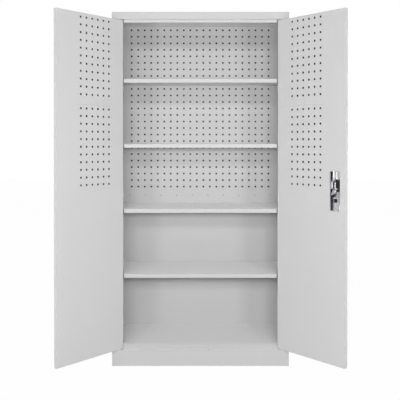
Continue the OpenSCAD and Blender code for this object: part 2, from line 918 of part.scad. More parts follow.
// Plain panel below the perforated ones, lapped behind the lower of them
module door_liner() {
    face = door_t - liner_recess;
    lap = 14;
    color(paint) block([sheet, face - sheet, door_z + sheet], [stile_u, face, liner_top_z + lap]);
}

// Hat channel between the skin and the inner panels
module door_stiffener() {
    end_inset = 30;
    flange = 10;
    mid_u = door_first_column + 1.5 * peg_pitch;
    left_u = mid_u - stiffener_w / 2;
    right_u = mid_u + stiffener_w / 2;
    skin_v = sheet + half_sheet;
    panel_v = door_t - liner_recess - sheet - half_sheet;
    color(paint) translate([0, 0, door_z + end_inset]) linear_extrude(door_h - 2 * end_inset) folded([
        [left_u - flange, skin_v],
        [left_u, skin_v],
        [left_u, panel_v],
        [right_u, panel_v],
        [right_u, skin_v],
        [right_u + flange, skin_v]
    ]);
}

// Folded brackets in the hinge corners, which hold the inner ends of the bushes
module hinge_brackets() {
    skin_v = sheet + half_sheet;
    panel_v = door_t - liner_recess - sheet - half_sheet;
    plate_z = 12;
    corner = sheet + bend_inner;
    color(zinc) for (end = [0, 1]) {
        translate([0, 0, end == 0 ? door_z : door_top_z]) mirror([0, 0, end]) difference() {
            across(corner, 2 * pivot_inset) folded([
                [skin_v, corner],
                [skin_v, plate_z - half_sheet],
                [panel_v, plate_z - half_sheet],
                [panel_v, corner]
            ]);
            post(pivot_inset, pivot_depth, plate_z - 3, plate_z + 3, bush_d());
        }
    }
}

// Flanged bushes, pressed into the skin and the brackets
module hinge_bushes() {
    color(nylon) for (end = [0, 1]) {
        translate([0, 0, end == 0 ? door_z : door_top_z]) mirror([0, 0, end]) difference() {
            union() {
                post(pivot_inset, pivot_depth, -collar_t, 0, collar_d);
                post(pivot_inset, pivot_depth, -1, bush_l, bush_d());
            }
            post(pivot_inset, pivot_depth, -collar_t - 1, bush_l + 1, pin_d + 2 * pin_clear);
        }
    }
}

module left_door_skin() {
    in_left_door() door_skin(false);
}

module left_door_stile() {
    in_left_door() door_stile(false);
}

module left_door_upper_peg_panel() {
    in_left_door() door_upper_peg_panel();
}

module left_door_lower_peg_panel() {
    in_left_door() door_lower_peg_panel();
}

module left_door_liner() {
    in_left_door() door_liner();
}

module left_door_stiffener() {
    in_left_door() door_stiffener();
}

module left_hinge_brackets() {
    in_left_door() hinge_brackets();
}

module left_hinge_bushes() {
    in_left_door() hinge_bushes();
}

module right_door_skin() {
    in_right_door() door_skin(true);
}

module right_door_stile() {
    in_right_door() door_stile(true);
}

module right_door_upper_peg_panel() {
    in_right_door() door_upper_peg_panel();
}

module right_door_lower_peg_panel() {
    in_right_door() door_lower_peg_panel();
}

module right_door_liner() {
    in_right_door() door_liner();
}

module right_door_stiffener() {
    in_right_door() door_stiffener();
}

module right_hinge_brackets() {
    in_right_door() hinge_brackets();
}

module right_hinge_bushes() {
    in_right_door() hinge_bushes();
}

// ---------------------------------------------------------------- lock

// Guides on the skin, two for each rod
module rod_guides() {
    end_inset = 60;
    color(nylon) in_right_door() {
        for (z = [case_top_z + end_inset, door_top_z - end_inset]) rod_guide(upper_rod_u, z);
        for (z = [case_low_z - end_inset, door_z + end_inset]) rod_guide(lower_rod_u, z);
    }
}

// Block with a round top on a wide foot
module rod_guide(u, z) {
    low = z - 6;
    high = z + 6;
    wall = 4;
    foot_reach = 6;
    foot_t = 2;
    half = rod_d / 2 + wall;
    difference() {
        union() {
            block([u - half, sheet, low], [u + half, rod_depth, high]);
            post(u, rod_depth, low, high, 2 * half);
            block([u - half - foot_reach, sheet, low], [u + half + foot_reach, sheet + foot_t, high]);
        }
        post(u, rod_depth, low - 1, high + 1, rod_d + 2 * rod_clear);
    }
}

// Open tray, seen through the stile
module lock_case() {
    color(chrome) in_right_door() difference() {
        union() {
            difference() {
                lock_opening(0, door_t);
                block(
                    [lock_u - case_in_half, case_floor, case_low_z + case_wall],
                    [lock_u + case_in_half, door_t + 1, case_top_z - case_wall]
                );
            }
            // Bearing boss for the spindle
            door_bore(spindle_u, spindle_z, case_floor - 1, strap_low - 2, bearing_d);
        }
        door_bore(spindle_u, spindle_z, -1, door_t, spindle_d + 2 * pin_clear);
        door_bore(key_u, key_z, -1, door_t, key_d + 2 * pin_clear);
        post(upper_rod_u, rod_depth, case_top_z - cut, case_top_z + cut, rod_d + 2 * rod_clear);
        post(lower_rod_u, rod_depth, case_low_z - cut, case_low_z + cut, rod_d + 2 * rod_clear);
        lock_screw_places() door_bore(0, 0, -1, door_t, rivet_d + 2 * pin_clear);
    }
}

// Dark strip on the hinge side of the tray, beside the upper rod's strap and clear under the cam
module case_guide() {
    side = lock_u - case_in_half;
    color(blackened) in_right_door() block(
        [side, case_floor, case_low_z + case_wall],
        [side + guide_t, cam_low - 2 * fit_gap, case_top_z - case_wall]
    );
}

// Places of the two screws that join the case and the bezel
module lock_screw_places() {
    translate([lock_u + 8, 0, case_top_z - lock_screw_inset]) children();
    translate([lock_u - 12, 0, case_low_z + lock_screw_inset]) children();
}

// Rounded plate outline, centred
module rounded_rect(w, h, r) {
    square([w - 2 * r, h], center = true);
    square([w, h - 2 * r], center = true);
    for (x = [-1, 1]) {
        for (z = [-1, 1]) translate([x * (w / 2 - r), z * (h / 2 - r)]) circle(r = r);
    }
}

module lock_bezel() {
    outer_w = case_w + 2 * bezel_border;
    outer_h = case_h + 2 * bezel_border;
    color(chrome) in_right_door() difference() {
        union() {
            upright_plate(-bezel_t + 1, 0) translate([lock_u, lock_z])
                rounded_rect(outer_w, outer_h, bezel_r);
            upright_plate(-bezel_t, 0) translate([lock_u, lock_z])
                rounded_rect(outer_w - 2 * bezel_step, outer_h - 2 * bezel_step, bezel_r - bezel_step);
            // Raised collars round the spindle and the key
            door_bore(spindle_u, spindle_z, -bezel_t - bezel_collar_t, -1, boss_d + 2);
            door_bore(key_u, key_z, -bezel_t - 1, -1, key_d + 6);
        }
        door_bore(spindle_u, spindle_z, -2 * door_t, 1, spindle_d + 2 * pin_clear);
        door_bore(key_u, key_z, -2 * door_t, 1, key_d + 2 * pin_clear);
        lock_screw_places() door_bore(0, 0, -1.5, 1, rivet_d + 2 * pin_clear);
    }
}

module lock_screws() {
    color(zinc) in_right_door() lock_screw_places() {
        door_bore(0, 0, -1.4, case_floor + 1, rivet_d);
        door_bore(0, 0, case_floor, case_floor + 3, rivet_head_d);
    }
}

module key_cylinder() {
    color(blackened) in_right_door() difference() {
        door_bore(key_u, key_z, -bezel_t - 1, strap_low + 1, key_d);
        door_bore(key_u, key_z, -door_t, door_t, plug_d + 2 * pin_clear);
    }
}

module key_plug() {
    face_v = -bezel_t - 1.5;
    keyway = [1.6, 8, 8];
    color(blackened) in_right_door() difference() {
        union() {
            door_bore(key_u, key_z, face_v, tongue_v, plug_d);
            // Locking tongue at the inner end
            block(
                [key_u - tongue_l, tongue_v - 0.1, key_z - tongue_w / 2],
                [key_u + tongue_w / 2, tongue_v + tongue_t, key_z + tongue_w / 2]
            );
            door_bore(key_u, key_z, tongue_v - 0.1, tongue_v + tongue_t, plug_d - 2);
        }
        translate([key_u, face_v, key_z]) cube(keyway, center = true);
        door_bore(key_u, key_z, strap_low - 3, tongue_v + tongue_t + 1, tongue_screw_d);
    }
}

// Screw that holds the tongue on the key plug
module tongue_screw() {
    seat_v = tongue_v + tongue_t;
    color(zinc) in_right_door() {
        door_bore(key_u, key_z, strap_low - 2, seat_v + 1, tongue_screw_d - 2 * pin_clear);
        door_bore(key_u, key_z, seat_v, seat_v + 0.8 * tongue_screw_d, 2 * tongue_screw_d);
    }
}

// Lever on the outer face, its spindle through the bezel and the case
module handle_lever() {
    boss_low = -bezel_t - bezel_collar_t - fit_gap;
    boss_high = boss_low - boss_h;
    square_depth = cam_t + 3.5;
    color(chrome) in_right_door() {
        difference() {
            union() {
                door_bore(spindle_u, spindle_z, boss_high, cam_low - 3, spindle_d);
                door_bore(spindle_u, spindle_z, boss_high, boss_low, boss_d);
                // Square end for the cam
                translate([spindle_u, cam_low - 4 + square_depth / 2, spindle_z])
                    cube([spindle_sq, square_depth, spindle_sq], center = true);
                translate([spindle_u, boss_high, spindle_z]) lever_grip();
            }
            door_bore(spindle_u, spindle_z, cam_low - 8, door_t + 5, cam_screw_d);
        }
    }
}

// Rounded grip towards the hinge: a broad head, a waist and a fuller end
module lever_grip() {
    head_r = boss_d / 2 + 0.5;
    waist_r = 7.5;
    end_r = 9;
    stations = [
        [0, head_r, 1.1],
        [-lever_l / 3, waist_r, 0.9],
        [-2 * lever_l / 3, waist_r, 0.9],
        [end_r - lever_l, end_r, 1]
    ];
    for (i = [0 : len(stations) - 2]) hull() {
        grip_section(stations[i]);
        grip_section(stations[i + 1]);
    }
}

// Flattened ball at a distance along the grip, with its radius and its share of the grip's thickness
module grip_section(station) {
    translate([station[0], 0, 0])
        scale([station[1], station[2] * grip_t / 2, station[1]]) sphere(r = 1, $fn = 28);
}

// Two-armed cam, square on the spindle, with a pin on each arm
module lock_cam() {
    arm_r = cam_pin_d / 2 + 2.5;
    waist = 9;
    angle = atan2(pin_dz, pin_dx);
    square_hole = spindle_sq + 2 * pin_clear;
    color(zinc) in_right_door() translate([spindle_u, 0, spindle_z]) {
        difference() {
            upright_plate(cam_low, cam_high) rotate([0, 0, angle]) {
                circle(d = cam_boss_d);
                for (s = [-1, 1]) {
                    translate([s * cam_r, 0]) circle(r = arm_r);
                    polygon([[0, -waist], [0, waist], [s * cam_r, arm_r], [s * cam_r, -arm_r]]);
                }
            }
            translate([0, cam_low + cam_t / 2, 0]) cube([square_hole, cam_t + 2, square_hole], center = true);
        }
        for (s = [-1, 1]) door_bore(s * pin_dx, s * pin_dz, strap_low - 0.5, cam_low + 1, cam_pin_d);
    }
}

// Hexagon screw with a washer, which holds the cam on the spindle
module cam_screw() {
    seat_v = cam_high + 1;
    washer_w = 14;
    hex_w = 11.5;
    hex_h = 3.5;
    color(zinc) in_right_door() {
        door_bore(spindle_u, spindle_z, cam_low - 7, seat_v, cam_screw_d - 2 * pin_clear);
        door_bore(spindle_u, spindle_z, cam_high, seat_v, washer_w);
        translate([spindle_u, seat_v, spindle_z]) rotate([-90, 0, 0]) cylinder(d = hex_w, h = hex_h, $fn = 6);
    }
}

// Flat strap from height z0 at u0, over a step, to height z1 at u1
module strap(u0, z0, u1, z1, step_z0, step_z1) {
    half = strap_w / 2;
    upright_plate(strap_low, strap_top) polygon([
        [u0 - half, z0], [u0 + half, z0], [u0 + half, step_z0], [u1 + half, step_z1],
        [u1 + half, z1], [u1 - half, z1], [u1 - half, step_z1], [u0 - half, step_z0]
    ]);
}

// Rod with a chamfered tip
module lock_rod(u, z0, z1, tip_up) {
    chamfer = 2;
    post(u, rod_depth, tip_up ? z0 : z0 + chamfer, tip_up ? z1 - chamfer : z1, rod_d);
    translate([u, rod_depth, tip_up ? z1 - chamfer : z0])
        cylinder(
            d1 = tip_up ? rod_d : rod_d - 2 * chamfer,
            d2 = tip_up ? rod_d - 2 * chamfer : rod_d,
            h = chamfer
        );
}

module upper_rod() {
    color(zinc) in_right_door() {
        lock_rod(upper_rod_u, lock_z + rod_start, upper_tip_z, true);
        strap(upper_strap_u, spindle_z + upper_hook_reach, upper_rod_u, lock_z + strap_end,
            lock_z + strap_bend - upper_step_h, lock_z + strap_bend);
    }
}

module lower_rod() {
    color(zinc) in_right_door() {
        lock_rod(lower_rod_u, lower_tip_z, lock_z - rod_start, false);
        strap(lower_strap_u, spindle_z - lower_hook_reach, lower_rod_u, lock_z - strap_end,
            lock_z - strap_bend + lower_step_h, lock_z - strap_bend);
    }
}

// Hook plate at a rod's end, drawn from the spindle, less the slot that the cam's pin runs in.
// side is -1 for the upper rod, towards the hinge, and 1 for the lower rod.
module rod_hook(side) {
    slot_high = 2 * hook_slot_half;
    slot_low = side * pin_dz - hook_slot_half;
    color(blackened) in_right_door() translate([spindle_u, 0, spindle_z])
        upright_plate(strap_low, strap_top) difference() {
            children();
            translate([side > 0 ? hook_slot_in : -hook_slot_out, slot_low])
                square([hook_slot_out - hook_slot_in, slot_high]);
        }
}

// Plate with a round tail below the slot
module upper_rod_hook() {
    outer = upper_strap_u - strap_w / 2 - spindle_u;
    seam_in = outer + strap_w;
    inner = hook_rim - hook_slot_in;
    tail = -pin_dz - hook_slot_half - 5;
    rod_hook(-1) {
        polygon([
            [outer, upper_hook_reach], [outer, tail], [inner, tail],
            [inner, -pin_dz + hook_slot_half + hook_rim], [seam_in, upper_hook_reach]
        ]);
        translate([(outer + inner) / 2, tail]) circle(d = inner - outer);
    }
}

// Broad plate with a round nose above the slot
module lower_rod_hook() {
    seam_in = lower_strap_u - strap_w / 2 - spindle_u;
    outer = lower_hook_u - spindle_u;
    inner = hook_slot_in - hook_rim;
    nose_u = inner + hook_nose_r - hook_rim;
    rod_hook(1) {
        polygon([
            [seam_in, -lower_hook_reach], [seam_in + strap_w, -lower_hook_reach], [outer, pin_dz],
            [outer, lower_hook_top], [inner, lower_hook_top],
            [inner, pin_dz - hook_slot_half - hook_rim]
        ]);
        translate([nose_u, lower_hook_top + hook_rim]) circle(r = hook_nose_r);
    }
}

// ---------------------------------------------------------------- parts

left_side_panel();
right_side_panel();
top_panel();
back_panel();
floor_panel();
plinth();
peg_back_panel();
peg_rail();
peg_rivets();
back_screws();
upright_front_left();
upright_front_right();
upright_rear_left();
upright_rear_right();
shelf_1();
shelf_2();
shelf_3();
shelf_4();
shelf_clips_1();
shelf_clips_2();
shelf_clips_3();
shelf_clips_4();
hinge_pins();
thrust_washers();
rod_keepers();
left_door_skin();
left_door_stile();
left_door_upper_peg_panel();
left_door_lower_peg_panel();
left_door_liner();
left_door_stiffener();
left_hinge_brackets();
left_hinge_bushes();
right_door_skin();
right_door_stile();
right_door_upper_peg_panel();
right_door_lower_peg_panel();
right_door_liner();
right_door_stiffener();
right_hinge_brackets();
right_hinge_bushes();
rod_guides();
lock_case();
case_guide();
lock_bezel();
lock_screws();
key_cylinder();
key_plug();
tongue_screw();
handle_lever();
lock_cam();
cam_screw();
upper_rod();
lower_rod();
upper_rod_hook();
lower_rod_hook();
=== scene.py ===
"""Dresses the steel tool cabinet: finishes, punched hole edges, screws, lever, studio and camera."""

import json
import logging
import math
from collections.abc import Mapping, Sequence
from dataclasses import dataclass, field
from enum import Enum
from typing import Protocol

import bmesh
import bpy
from mathutils import Matrix, Vector


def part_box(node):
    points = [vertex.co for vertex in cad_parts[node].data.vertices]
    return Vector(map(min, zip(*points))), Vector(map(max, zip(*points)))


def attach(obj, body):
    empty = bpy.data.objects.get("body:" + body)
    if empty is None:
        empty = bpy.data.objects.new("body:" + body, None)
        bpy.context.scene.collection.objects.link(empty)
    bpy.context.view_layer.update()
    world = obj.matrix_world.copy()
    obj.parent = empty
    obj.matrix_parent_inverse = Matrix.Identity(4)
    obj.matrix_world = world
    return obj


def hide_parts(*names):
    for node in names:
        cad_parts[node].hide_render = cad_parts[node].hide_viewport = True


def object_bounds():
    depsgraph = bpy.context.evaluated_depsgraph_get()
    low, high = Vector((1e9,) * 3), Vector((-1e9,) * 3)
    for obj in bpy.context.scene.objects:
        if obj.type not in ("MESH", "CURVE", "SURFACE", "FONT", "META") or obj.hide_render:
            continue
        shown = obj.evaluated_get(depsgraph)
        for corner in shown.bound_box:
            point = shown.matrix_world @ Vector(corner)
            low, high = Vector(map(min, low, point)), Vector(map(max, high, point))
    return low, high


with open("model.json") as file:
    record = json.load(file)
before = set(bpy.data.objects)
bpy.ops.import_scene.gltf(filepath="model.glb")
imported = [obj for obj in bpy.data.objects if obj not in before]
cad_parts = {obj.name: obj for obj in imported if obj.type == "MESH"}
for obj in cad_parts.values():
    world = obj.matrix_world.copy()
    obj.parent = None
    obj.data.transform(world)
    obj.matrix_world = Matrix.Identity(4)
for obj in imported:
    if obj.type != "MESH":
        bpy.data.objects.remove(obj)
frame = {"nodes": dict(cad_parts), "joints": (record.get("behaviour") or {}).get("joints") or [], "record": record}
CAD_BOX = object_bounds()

LOG = logging.getLogger("cabinet")
MM = 0.001
# Thickness of the cabinet's sheet
SHEET = 1.0 * MM
# A hair's breadth, by which a box of painted shade leaves a face out or takes it in
SKIM = 0.1 * MM
# How far the painted shade in the hollow behind a panel reaches past its outer holes, and stays above a door
# panel's foot
MARGIN = 14 * MM
UP = Vector((0, 0, 1))
Colour = tuple[float, float, float]
# Painted shade: the rivets are coated darker than the sheet, standing in for the shade round their heads
RIVET_SHADE_GREY: Colour = (0.5, 0.5, 0.5)


class Slot(Enum):
    """The record's material slots."""

    PAINT = "grey_paint"
    ZINC = "zinc_steel"
    CHROME = "chrome"
    BLACK = "black_steel"
    NYLON = "nylon"


class Side(Enum):
    """Which of the two doors, with the sign of its place along X."""

    LEFT = -1
    RIGHT = 1


# ---------------------------------------------------------------- nodes


class Wire:
    """An output socket that takes part in Python sums."""

    def __init__(self, nodes: "NodeSet", socket: bpy.types.NodeSocket) -> None:
        """Wraps a socket.

        Args:
            nodes: the node set that the socket belongs to.
            socket: the output socket.
        """
        self.nodes = nodes
        self.socket = socket

    def _join(self, operation: str, first: "Value", second: "Value") -> "Wire":
        """Adds one Math node.

        Args:
            operation: the Math node's operation.
            first: the first value or wire.
            second: the second value or wire.

        Returns:
            The result's wire.
        """
        return self.nodes.add("ShaderNodeMath", {"operation": operation}, {0: first, 1: second})

    def __add__(self, other: "Value") -> "Wire":
        """Sum."""
        return self._join("ADD", self, other)

    def __radd__(self, other: "Value") -> "Wire":
        """Sum with a number on the left."""
        return self._join("ADD", other, self)

    def __sub__(self, other: "Value") -> "Wire":
        """Difference."""
        return self._join("SUBTRACT", self, other)

    def __rsub__(self, other: "Value") -> "Wire":
        """Difference from a number."""
        return self._join("SUBTRACT", other, self)

    def __mul__(self, other: "Value") -> "Wire":
        """Product."""
        return self._join("MULTIPLY", self, other)

    def __rmul__(self, other: "Value") -> "Wire":
        """Product with a number on the left."""
        return self._join("MULTIPLY", other, self)

    def __or__(self, other: "Value") -> "Wire":
        """The larger of two masks."""
        return self._join("MAXIMUM", self, other)

    def power(self, exponent: float) -> "Wire":
        """The wire raised to a power."""
        return self._join("POWER", self, exponent)


Value = Wire | float


class NodeSet:
    """Adds nodes to one tree and wires them."""

    def __init__(self, tree: bpy.types.NodeTree) -> None:
        """Keeps the tree.

        Args:
            tree: a shader or geometry node tree.
        """
        self.tree = tree

    def add(
        self,
        kind: str,
        settings: Mapping[str, object] | None = None,
        inputs: Mapping[str | int, object] | None = None,
        output: str | int = 0,
    ) -> Wire:
        """Adds one node.

        Args:
            kind: the node's type.
            settings: properties of the node, set before its sockets.
            inputs: values or wires by the socket's identifier or index.
            output: the output to return.

        Returns:
            The wire of that output.
        """
        node = self.tree.nodes.new(kind)
        for name, setting in (settings or {}).items():
            setattr(node, name, setting)
        for key, value in (inputs or {}).items():
            socket = self._socket(node, key)
            for part in value if isinstance(value, list) else [value]:
                if isinstance(part, Wire):
                    self.tree.links.new(part.socket, socket)
                else:
                    socket.default_value = part
        outputs = node.outputs
        return Wire(self, outputs[output]) if len(outputs) else Wire(self, None)

    @staticmethod
    def _socket(node: bpy.types.Node, key: str | int) -> bpy.types.NodeSocket:
        """Finds an input socket.

        Args:
            node: the node.
            key: the socket's identifier or index.

        Returns:
            The socket.
        """
        if isinstance(key, int):
            return node.inputs[key]
        return next(s for s in node.inputs if s.identifier == key)


class Finish(NodeSet):
    """One material under construction, with the patterns that the finishes share."""

    def __init__(self, name: str) -> None:
        """Starts an empty material.

        Args:
            name: the material's name.
        """
        self.material = bpy.data.materials.new(name)
        self.material.use_nodes = True
        self.material.node_tree.nodes.clear()
        super().__init__(self.material.node_tree)
        self.place = self.add("ShaderNodeTexCoord", output="Object")

    def noise(self, size: float, detail: float = 2.0, stretch: Sequence[float] = (1, 1, 1)) -> Wire:
        """Soft random pattern in the object's own space.

        Args:
            size: the pattern's feature size in metres.
            detail: how many finer layers it has.
            stretch: how much longer its features are along X, Y and Z.

        Returns:
            Values about 0.5.
        """
        scale = tuple(1 / (size * s) for s in stretch)
        place = self.add("ShaderNodeMapping", inputs={"Vector": self.place, "Scale": scale})
        return self.add("ShaderNodeTexNoise", inputs={"Vector": place, "Scale": 1.0, "Detail": detail})

    def bump(self, height: Wire, depth: float) -> Wire:
        """The normal of a relief from 0 to 1, with its depth in metres."""
        return self.add("ShaderNodeBump", inputs={"Strength": 1.0, "Distance": depth, "Height": height})

    def tint(self, colour: Colour, level: Wire) -> Wire:
        """A colour made lighter or darker by a wire about 1."""
        return self.add("ShaderNodeVectorMath", {"operation": "SCALE"}, {"Vector": colour, "Scale": level})

    def surface(self, **sockets: object) -> bpy.types.Material:
        """Ends the material in a Principled shader.

        Args:
            **sockets: the shader's sockets, with underscores for spaces.

        Returns:
            The finished material.
        """
        inputs = {name.replace("_", " "): value for name, value in sockets.items()}
        shader = self.add("ShaderNodeBsdfPrincipled", inputs=inputs)
        self.add("ShaderNodeOutputMaterial", inputs={"Surface": shader})
        return self.material


class Coating(Protocol):
    """Anything that can make its material."""

    def build(self) -> bpy.types.Material:
        """Makes the material."""


@dataclass(frozen=True)
class ShadeBox:
    """A box whose faces inside get painted shade, such as the closed space behind punched holes.

    Attributes:
        centre: its middle.
        edges: the directions of its edges, each with half its size that way.
    """

    centre: Vector
    edges: Sequence[tuple[Vector, float]]

    @classmethod
    def between(cls, low: Vector, high: Vector, turn: Matrix = Matrix.Identity(4)) -> "ShadeBox":
        """Makes a box from two corners.

        Args:
            low: the lowest corner, in its own directions.
            high: the highest corner.
            turn: where its own directions and origin lie in the frame.

        Returns:
            The hollow.
        """
        half = (high - low) / 2
        sides = [(turn.col[k].to_3d(), half[k]) for k in range(3)]
        return cls(turn @ ((low + high) / 2), sides)

    def mask(self, finish: Finish) -> Wire:
        """Tells the box's inside from its outside.

        Args:
            finish: the material that it is for.

        Returns:
            1 in the box and 0 outside.
        """
        place = finish.add(
            "ShaderNodeVectorMath", {"operation": "SUBTRACT"}, {0: finish.place, 1: self.centre}
        )
        inside = None
        for direction, half in self.edges:
            reach = finish.add(
                "ShaderNodeVectorMath", {"operation": "DOT_PRODUCT"}, {0: place, 1: direction}, "Value"
            )
            reach = finish.add("ShaderNodeMath", {"operation": "ABSOLUTE"}, {0: reach})
            within = finish.add("ShaderNodeMath", {"operation": "LESS_THAN"}, {0: reach, 1: half})
            inside = within if inside is None else inside * within
        return inside


@dataclass(frozen=True)
class PowderCoat:
    """Satin powder coat on sheet steel: even grey, with fine orange peel, and painted shade in the hollows behind
    the holes.

    Attributes:
        shade_boxes: the closed spaces behind the holes, darkened almost to black as painted shade.
        colour: its colour.
        roughness: how matt it is.
        cloud: how much its tone drifts over a panel.
        cloud_size: width of a patch of the drift.
        peel_size: width of the orange peel's dimples.
        peel_depth: their depth.
        peel_gloss: how much the dimples change the roughness.
        speck: how much single grains of powder differ in tone.
        speck_size: width of a grain.
        shade_level: how much of the colour is left in the painted shade, as a share of the colour.
        name: the material's name.
    """

    shade_boxes: Sequence[ShadeBox]
    colour: Colour = (0.7, 0.7, 0.7)
    roughness: float = 0.42
    cloud: float = 0.025
    cloud_size: float = 0.45
    peel_size: float = 2.2 * MM
    peel_depth: float = 0.012 * MM
    peel_gloss: float = 0.08
    speck: float = 0.02
    speck_size: float = 0.35 * MM
    shade_level: float = 0.02
    name: str = "powder_coat"

    def build(self) -> bpy.types.Material:
        """Makes the material.

        Returns:
            The material.
        """
        coat = Finish(self.name)
        drift = coat.noise(self.cloud_size, detail=1.0)
        peel = coat.noise(self.peel_size, detail=1.0)
        speck = coat.noise(self.speck_size, detail=0.0)
        level = 1 + (drift - 0.5) * self.cloud + (speck - 0.5) * self.speck
        # Painted shade: the closed spaces behind the punched holes are darkened almost to black
        for shade_box in self.shade_boxes:
            level = level * (1 - shade_box.mask(coat) * (1 - self.shade_level))
        return coat.surface(
            Base_Color=coat.tint(self.colour, level),
            Roughness=self.roughness + (peel - 0.5) * self.peel_gloss,
            Diffuse_Roughness=1.0,
            Normal=coat.bump(peel, self.peel_depth),
        )


@dataclass(frozen=True)
class ZincPlate:
    """Bright zinc plate on steel, with fine drawing lines along Z.

    Attributes:
        colour: its colour.
        roughness: how matt it is.
        line_size: width of the drawing lines.
        line_stretch: how many times longer than wide they are.
        line_depth: their depth.
        cloud: how much the tone drifts.
        cloud_size: width of a patch of the drift.
        cloud_gloss: how much the drift changes the roughness.
    """

    colour: Colour = (0.62, 0.63, 0.65)
    roughness: float = 0.3
    line_size: float = 0.3 * MM
    line_stretch: float = 40.0
    line_depth: float = 0.01 * MM
    cloud: float = 0.2
    cloud_size: float = 9 * MM
    cloud_gloss: float = 0.25

    def build(self) -> bpy.types.Material:
        """Makes the material.

        Returns:
            The material.
        """
        plate = Finish("zinc_plate")
        lines = plate.noise(self.line_size, stretch=(1, 1, self.line_stretch))
        cloud = plate.noise(self.cloud_size, detail=3.0)
        return plate.surface(
            Base_Color=plate.tint(self.colour, 1 - self.cloud / 2 + cloud * self.cloud),
            Metallic=1.0,
            Roughness=self.roughness + (cloud - 0.5) * self.cloud_gloss,
            Normal=plate.bump(lines, self.line_depth),
        )


@dataclass(frozen=True)
class ChromePlate:
    """Satin chrome plate on a zinc casting, with a faint casting ripple, and painted shade on one side of the lock
    case.

    Attributes:
        shaded_side: the side of the lock case that gets painted shade.
        colour: its colour.
        roughness: how matt it is.
        ripple_size: width of the casting's ripples.
        ripple_depth: their depth.
        haze: how much handling changes the tone.
        haze_size: width of a patch of the haze.
        haze_gloss: how much the haze adds to the roughness.
        darkening: how much of the colour the painted shade takes away.
        dulling: how much the shaded side adds to the roughness.
    """

    shaded_side: ShadeBox
    colour: Colour = (0.72, 0.72, 0.74)
    roughness: float = 0.34
    ripple_size: float = 6 * MM
    ripple_depth: float = 0.02 * MM
    haze: float = 0.12
    haze_size: float = 14 * MM
    haze_gloss: float = 0.2
    darkening: float = 0.2
    dulling: float = 0.3

    def build(self) -> bpy.types.Material:
        """Makes the material.

        Returns:
            The material.
        """
        plate = Finish("chrome_plate")
        ripple = plate.noise(self.ripple_size, detail=1.0)
        haze = plate.noise(self.haze_size, detail=4.0)
        # Painted shade: the case's side towards the hinge is darkened and made duller
        shade_mask = self.shaded_side.mask(plate)
        level = (1 - self.haze / 2 + haze * self.haze) * (1 - shade_mask * self.darkening)
        return plate.surface(
            Base_Color=plate.tint(self.colour, level),
            Metallic=1.0,
            Roughness=self.roughness + haze.power(3.0) * self.haze_gloss + shade_mask * self.dulling,
            Normal=plate.bump(ripple, self.ripple_depth),
        )


@dataclass(frozen=True)
class BlackedSteel:
    """Blackened pressed steel with a dry oil sheen.

    Attributes:
        colour: its colour.
        roughness: how matt it is.
        sheen: strength of its gloss.
        grain_size: width of the phosphate grain.
        grain_depth: its depth.
        rub: how much rubbing changes the tone.
        rub_size: width of a rubbed patch.
        rub_gloss: how much rubbing changes the roughness.
    """

    colour: Colour = (0.014, 0.014, 0.015)
    roughness: float = 0.6
    sheen: float = 0.25
    grain_size: float = 0.4 * MM
    grain_depth: float = 0.02 * MM
    rub: float = 0.8
    rub_size: float = 5 * MM
    rub_gloss: float = 0.2

    def build(self) -> bpy.types.Material:
        """Makes the material.

        Returns:
            The material.
        """
        steel = Finish("blacked_steel")
        grain = steel.noise(self.grain_size, detail=2.0)
        rub = steel.noise(self.rub_size, detail=3.0)
        return steel.surface(
            Base_Color=steel.tint(self.colour, 1 - self.rub / 2 + rub * self.rub),
            Specular_IOR_Level=self.sheen,
            Roughness=self.roughness + (rub - 0.5) * self.rub_gloss,
            Normal=steel.bump(grain, self.grain_depth),
        )


@dataclass(frozen=True)
class MouldedNylon:
    """Natural nylon, slightly waxy.

    Attributes:
        colour: its colour.
        roughness: how matt it is.
        cloud: how much the tone drifts.
        cloud_size: width of a patch of the drift.
        cloud_gloss: how much the drift changes the roughness.
        grain_size: width of the mould's grain.
        grain_depth: its depth.
    """

    colour: Colour = (0.75, 0.73, 0.68)
    roughness: float = 0.45
    cloud: float = 0.08
    cloud_size: float = 4 * MM
    cloud_gloss: float = 0.1
    grain_size: float = 0.5 * MM
    grain_depth: float = 0.015 * MM

    def build(self) -> bpy.types.Material:
        """Makes the material.

        Returns:
            The material.
        """
        nylon = Finish("moulded_nylon")
        cloud = nylon.noise(self.cloud_size, detail=2.0)
        grain = nylon.noise(self.grain_size, detail=1.0)
        return nylon.surface(
            Base_Color=nylon.tint(self.colour, 1 - self.cloud / 2 + cloud * self.cloud),
            Roughness=self.roughness + (cloud - 0.5) * self.cloud_gloss,
            Normal=nylon.bump(grain, self.grain_depth),
        )


class PaintShop:
    """Makes each finish once and puts it on the pieces.

    Attributes:
        materials: the finish of each slot.
        shade_finishes: the finish of a node that differs from its slot's, darker as painted shade.
    """

    def __init__(self, shade_boxes: Sequence[ShadeBox], shaded_side: ShadeBox) -> None:
        """Makes the materials.

        Args:
            shade_boxes: the closed spaces behind the holes, which get painted shade.
            shaded_side: the side of the lock case that gets painted shade.
        """
        coatings: Mapping[Slot, Coating] = {
            Slot.PAINT: PowderCoat(shade_boxes),
            Slot.ZINC: ZincPlate(),
            Slot.CHROME: ChromePlate(shaded_side),
            Slot.BLACK: BlackedSteel(),
            Slot.NYLON: MouldedNylon(),
        }
        self.materials = {slot: coating.build() for slot, coating in coatings.items()}
        # Painted shade: the peg panel's rivets get a darker coat than the sheet
        self.shade_finishes = {"peg_rivets": PowderCoat([], RIVET_SHADE_GREY, name="rivet_coat").build()}

    def finish_frame(self) -> None:
        """Gives every node of the frame the finish that the record names for it, or a darker one as painted shade.
        """
        for part in frame["record"]["subparts"]:
            mesh = frame["nodes"][part["node"]].data
            mesh.materials.clear()
            finish = self.materials[Slot(part["material_slot"])]
            mesh.materials.append(self.shade_finishes.get(part["node"], finish))

    def finish(self, piece: bpy.types.Object, slot: Slot) -> None:
        """Gives a new piece the finish of a slot.

        Args:
            piece: the piece.
            slot: the finish.
        """
        piece.data.materials.clear()
        piece.data.materials.append(self.materials[slot])


# ---------------------------------------------------------------- geometry node trees


